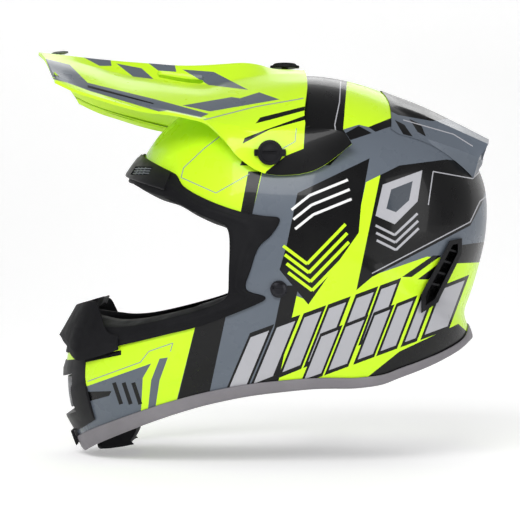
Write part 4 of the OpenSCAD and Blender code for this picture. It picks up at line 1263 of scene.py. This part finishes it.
def inflate(obj, cap):
    """Cloth simulation of the air pressure, with each point's move capped."""
    start = np.array([v.co for v in obj.data.vertices])
    cloth = obj.modifiers.new("cloth", "CLOTH")
    cloth.settings.use_pressure = True
    cloth.settings.uniform_pressure_force = 4
    cloth.settings.quality = 5
    cloth.settings.effector_weights.gravity = 0
    cloth.point_cache.frame_start = 1
    cloth.point_cache.frame_end = CLOTH_FRAMES
    for frame_number in range(1, CLOTH_FRAMES + 1):
        bpy.context.scene.frame_set(frame_number)
    finished(obj)
    bpy.context.scene.frame_set(1)
    moved = np.array([v.co for v in obj.data.vertices]) - start
    length = np.linalg.norm(moved, axis=1, keepdims=True)
    limited = start + moved * np.minimum(1, cap * MM / np.maximum(length, 1e-9))
    obj.data.vertices.foreach_set("co", limited.ravel())


def sew(obj, depth, width, line):
    """Presses a sewn channel into a pad along the points where line(points in mm) is zero."""
    mesh = obj.data
    points = np.array([v.co for v in mesh.vertices]) / MM
    normals = np.array([v.normal for v in mesh.vertices])
    push = depth * groove(line(points), width)[:, None]
    mesh.vertices.foreach_set("co", ((points - normals * push) * MM).ravel())
    mesh.update()
    return obj


def make_neck_roll():
    az = np.linspace(114.5, 245.5, 73)[:, None]
    low, high = rim_el(az) + 4.2, eps_el(az) - 2.2
    middle = (low + high) / 2
    inner = np.linalg.norm(hollow(az, middle, COMFORT_WALL), axis=-1) + 1.5
    taper = 1 - 0.55 * smooth_step(0.8, 1.0, np.abs(az - 180) / 65.5)
    low, high = middle + (low - middle) * taper, middle + (high - middle) * taper
    at = lambda e, r: toward(az, e) * r[..., None]
    rings = np.concatenate([skin(az, low, -10.5), skin(az, middle, -9.5), skin(az, high, -10.5),
                            at(high, inner + 5), at(middle, inner), at(low, inner + 5)], 1)
    roll = swell(loft("neck_pad", rings), 4, 3.5)
    bearing = lambda p: np.degrees(np.arctan2(p[:, 1], p[:, 0])) % 360
    sew(roll, 1.3, 2.2, lambda p: np.abs((bearing(p) - 180 + 15) % 30 - 15) * 1.6)
    place(roll, "helmet", "liner_fabric", "neck_roll", material=PAD_KNIT)


def pad_low(az):
    return rim_el(az) + 3.4 + 5 * np.exp(-((az - 75) / 12) ** 2)


def pad_top(az):
    return np.minimum(np.minimum(eps_el(az) - 1.6, -6), -25 + 3.8 * np.maximum(0, az - 63.5))


def make_cheek_pads():
    az = np.linspace(33, 89, 57)[:, None]
    t = np.linspace(0, 1, 9)[None, :]
    el = pad_low(az) + 1.2 + (pad_top(az) - pad_low(az) - 2.4) * t
    face = (CHEEK_Y + 1.8 + 6 * (2 * t - 1) ** 2) / (np.cos(np.radians(el)) * np.sin(np.radians(az)))
    inner = np.minimum(np.linalg.norm(skin(az, el, -16.5), axis=-1), face)
    rings = np.concatenate([skin(az, el, -13.2), (toward(az, el) * inner[..., None])[:, ::-1]], 1)
    pad = swell(loft("cheek", rings), 4.5, 3.0)
    slope = lambda p: p[:, 2] + 84 - 0.25 * (p[:, 0] - 70)
    sew(pad, 1.4, 2.4, slope)
    sew(pad, 1.2, 2.4, lambda p: p[:, 0] - 58 + 0.2 * (p[:, 2] + 84))
    for side, name in ((1, "left"), (-1, "right")):
        piece = clone(pad, "cheek_cushion_" + name, side < 0)
        piece.data.shade_smooth()
        place(piece, "helmet", "liner_fabric", "cheek_pad_" + name, material=PAD_KNIT)
    bpy.data.objects.remove(pad)


make_foam_liner()
make_comfort_liner()
make_neck_roll()
make_cheek_pads()

# ---------- chin strap ----------

ANCHOR_Y = side_y(*RIVET) - SHELL_WALL - 2.8
DOWN_PATH = [(ANCHOR_Y - 2.4, RIVET[1] - 14), (ANCHOR_Y - 2.6, -70), (ANCHOR_Y - 5.2, -90),
             (ANCHOR_Y - 10, -98), (ANCHOR_Y - 19, -104), (ANCHOR_Y - 32, -108.6), (ANCHOR_Y - 46, -111.2)]
TAIL_BEND = BUCKLE_Y - 13


def ribbon(name, path):
    """Webbing along (y, z) points: flat in the middle, with a rolled selvedge along each side."""
    line = spline(path, 8)
    run = np.concatenate([line[1:], line[-1:]]) - np.concatenate([line[:1], line[:-1]])
    run = run / np.linalg.norm(run, axis=1, keepdims=True)
    normal = np.stack([-run[:, 1], run[:, 0]], 1)
    half, thick = STRAP_W / 2, STRAP_T / 2
    section = [(-half + 0.3, 0.55), (-half + 1.2, 1.0), (-half + 2.4, 0.86), (-half + 3.2, 0.8), (0, 0.8),
               (half - 3.2, 0.8), (half - 2.4, 0.86), (half - 1.2, 1.0), (half - 0.3, 0.55), (half, 0.0)]
    section += [(x, -h) for x, h in section[-2::-1]] + [(-half, 0.0)]
    rings = []
    for x, h in section:
        yz = line + normal * thick * h
        rings.append(np.column_stack([np.full(len(yz), STRAP_X + x), yz]))
    return loft(name, np.stack(rings, 1))


def stitches(start, end, normal, count=8, length=1.7):
    """Row of raised stitches between two points."""
    start, end = np.array(start, float), np.array(end, float)
    along = (end - start) / np.linalg.norm(end - start)
    made = []
    for t in np.linspace(0, 1, count):
        middle = start + (end - start) * t
        foot = middle - along * length / 2 + np.array(normal) * 0.1
        made.append(rod("stitch", foot, along, 0.32, length, 8))
    return made


def make_straps():
    y, z, r = BUCKLE_Y, STRAP_LOW, WIRE_R + 1.15
    left = ribbon("strap_main_left", DOWN_PATH + [(y + 14, z + 0.5), (y + 6.4, z)])
    half = [(6.0, 0.2), (3.4, 3.6), (0, 2.3 + r), (-r * 0.72, 2.3 + r * 0.7), (-r, 2.0)]
    around = half + [(-r, 0)] + [(a, -b) for a, b in half[::-1]]
    loop = ribbon("strap_fold", [(y + a, z + b) for a, b in around])
    seam = []
    for x in (STRAP_X - 9.5, STRAP_X + 9.5):
        seam += stitches((x, y + 9, z + 1.25), (x, y + 25, z + 3.1), (0, 0, 1))
        seam += stitches((x, y + 9, z - 0.75), (x, y + 25, z + 1.05), (0, 0, -1))
    for dy, up in ((9, 1.25), (25, 3.1)):
        seam += stitches((STRAP_X - 9, y + dy, z + up), (STRAP_X + 9, y + dy, z + up), (0, 0, 1))
    thread = joined("strap_thread", seam)
    place(thread, "helmet", "webbing", material=THREAD)
    place(joined("strap_left_webbing", [left, loop]), "helmet", "webbing", "chin_strap_left")
    rest = [(-BUCKLE_Y - 14, z + 3.4), (-BUCKLE_Y, z + 4), (-BUCKLE_Y + 20, z + 6.5), (0, z + 9),
            (TAIL_BEND - 8, z + 9), (TAIL_BEND - 2.5, z + 7.6), (TAIL_BEND, z + 4.4), (TAIL_BEND, z + 3.05)]
    right = ribbon("strap_right_webbing", [(-a, b) for a, b in DOWN_PATH] + rest)
    place(right, "helmet", "webbing", "chin_strap_right")
    tail = ribbon("strap_tail_webbing", [(TAIL_BEND, z + 3), (TAIL_BEND, z - 3), (TAIL_BEND - 2.5, z - 7.6),
                                         (TAIL_BEND - 8, z - 9), (0, z - 7.5), (-24, z - 2), (-56, z - 2)])
    place(tail, "helmet", "webbing", "strap_tail")


make_straps()

# ---------- stage ----------


def studio(obj, name, rough, glow):
    """Gives a piece of the studio a white material that glows a little."""
    m = Material(name, Roughness=rough, Emission_Strength=glow, Emission_Color=(1.0, 1.0, 1.0))
    m.set("Base Color", m.mix(m.noise(3.0), (0.86, 0.86, 0.86), (0.88, 0.88, 0.88)))
    paint_on(obj, m)


FLOOR_Z = -181
WALL_R = 2500


def make_stage():
    """Floor that curves up behind the helmet, and a wall all round that the camera alone sees."""
    run, height, radius, steps = 2200, 2600, 700, 14
    profile = [(2600, FLOOR_Z)]
    profile += [(-run + radius - radius * math.sin(s), FLOOR_Z + radius - radius * math.cos(s))
                for s in np.linspace(0, math.pi / 2, steps)]
    profile += [(-run, FLOOR_Z + height)]
    rows = [[(x, y, z) for x in (-4200, 4200)] for y, z in profile]
    studio(new_object("backdrop", np.array(rows), grid_faces(len(rows), 2)), "studio_white", 0.85, 0.34)
    turns = np.linspace(0, 2 * math.pi, 96, endpoint=False)
    ring = [[(WALL_R * math.cos(t), WALL_R * math.sin(t), z) for t in turns]
            for z in (FLOOR_Z, FLOOR_Z + height)]
    wall = new_object("horizon", np.array(ring), grid_faces(2, 96, False, True))
    wall.visible_diffuse = False
    wall.visible_glossy = False
    wall.visible_shadow = False
    studio(wall, "horizon_white", 1.0, 0.95)


WORLD_STRENGTH = 0.30
# Name, place and target in metres, size in metres, and power in watts.
LIGHTS = [("key", (0.6, 1.6, 1.2), (0.03, 0, 0), (1.4, 0.9), 27),
          ("fill", (-1.5, 1.1, 0.5), (0, 0, 0), (0.9, 1.4), 8),
          ("back", (-0.3, -1.6, 1.2), (0, 0, 0), (1.6, 0.8), 6)]
LENS = 116.3


def area_light(name, place_at, look_at, size, power):
    data = bpy.data.lights.new(name, "AREA")
    data.shape = "RECTANGLE"
    data.size, data.size_y = size
    data.energy = power
    lamp = linked(name, data)
    lamp.location = place_at
    direction = lamp.location.copy()
    direction.x, direction.y, direction.z = [l - p for l, p in zip(look_at, place_at)]
    lamp.rotation_euler = direction.to_track_quat("-Z", "Y").to_euler()


def make_lights():
    world = bpy.data.worlds.new("studio")
    world.use_nodes = True
    background = world.node_tree.nodes["Background"]
    background.inputs["Color"].default_value = (1.0, 1.0, 1.0, 1.0)
    background.inputs["Strength"].default_value = WORLD_STRENGTH
    bpy.context.scene.world = world
    for light in LIGHTS:
        area_light(*light)


def make_camera():
    data = bpy.data.cameras.new("camera")
    data.lens = LENS
    data.sensor_width = 36
    camera = linked("camera", data)
    camera.location = (EYE[0] * MM, EYE_Y * MM, EYE[1] * MM)
    camera.rotation_euler = (math.radians(90), 0, math.radians(180))
    bpy.context.scene.camera = camera


make_stage()
make_lights()
make_camera()
bpy.context.scene.view_settings.view_transform = "Standard"

# ---------- carried-over CAD nodes ----------


CAD_BEVEL = 0.3


def finish_cad_nodes():
    """Gives every CAD node that still shows its material and soft edges."""
    slots = {s["node"]: s["material_slot"] for s in frame["record"]["subparts"]}
    for name, obj in frame["nodes"].items():
        if obj.hide_render:
            continue
        paint_on(obj, FINISH[slots[name]])
        soft_edges(obj, CAD_BEVEL, 35)


finish_cad_nodes()
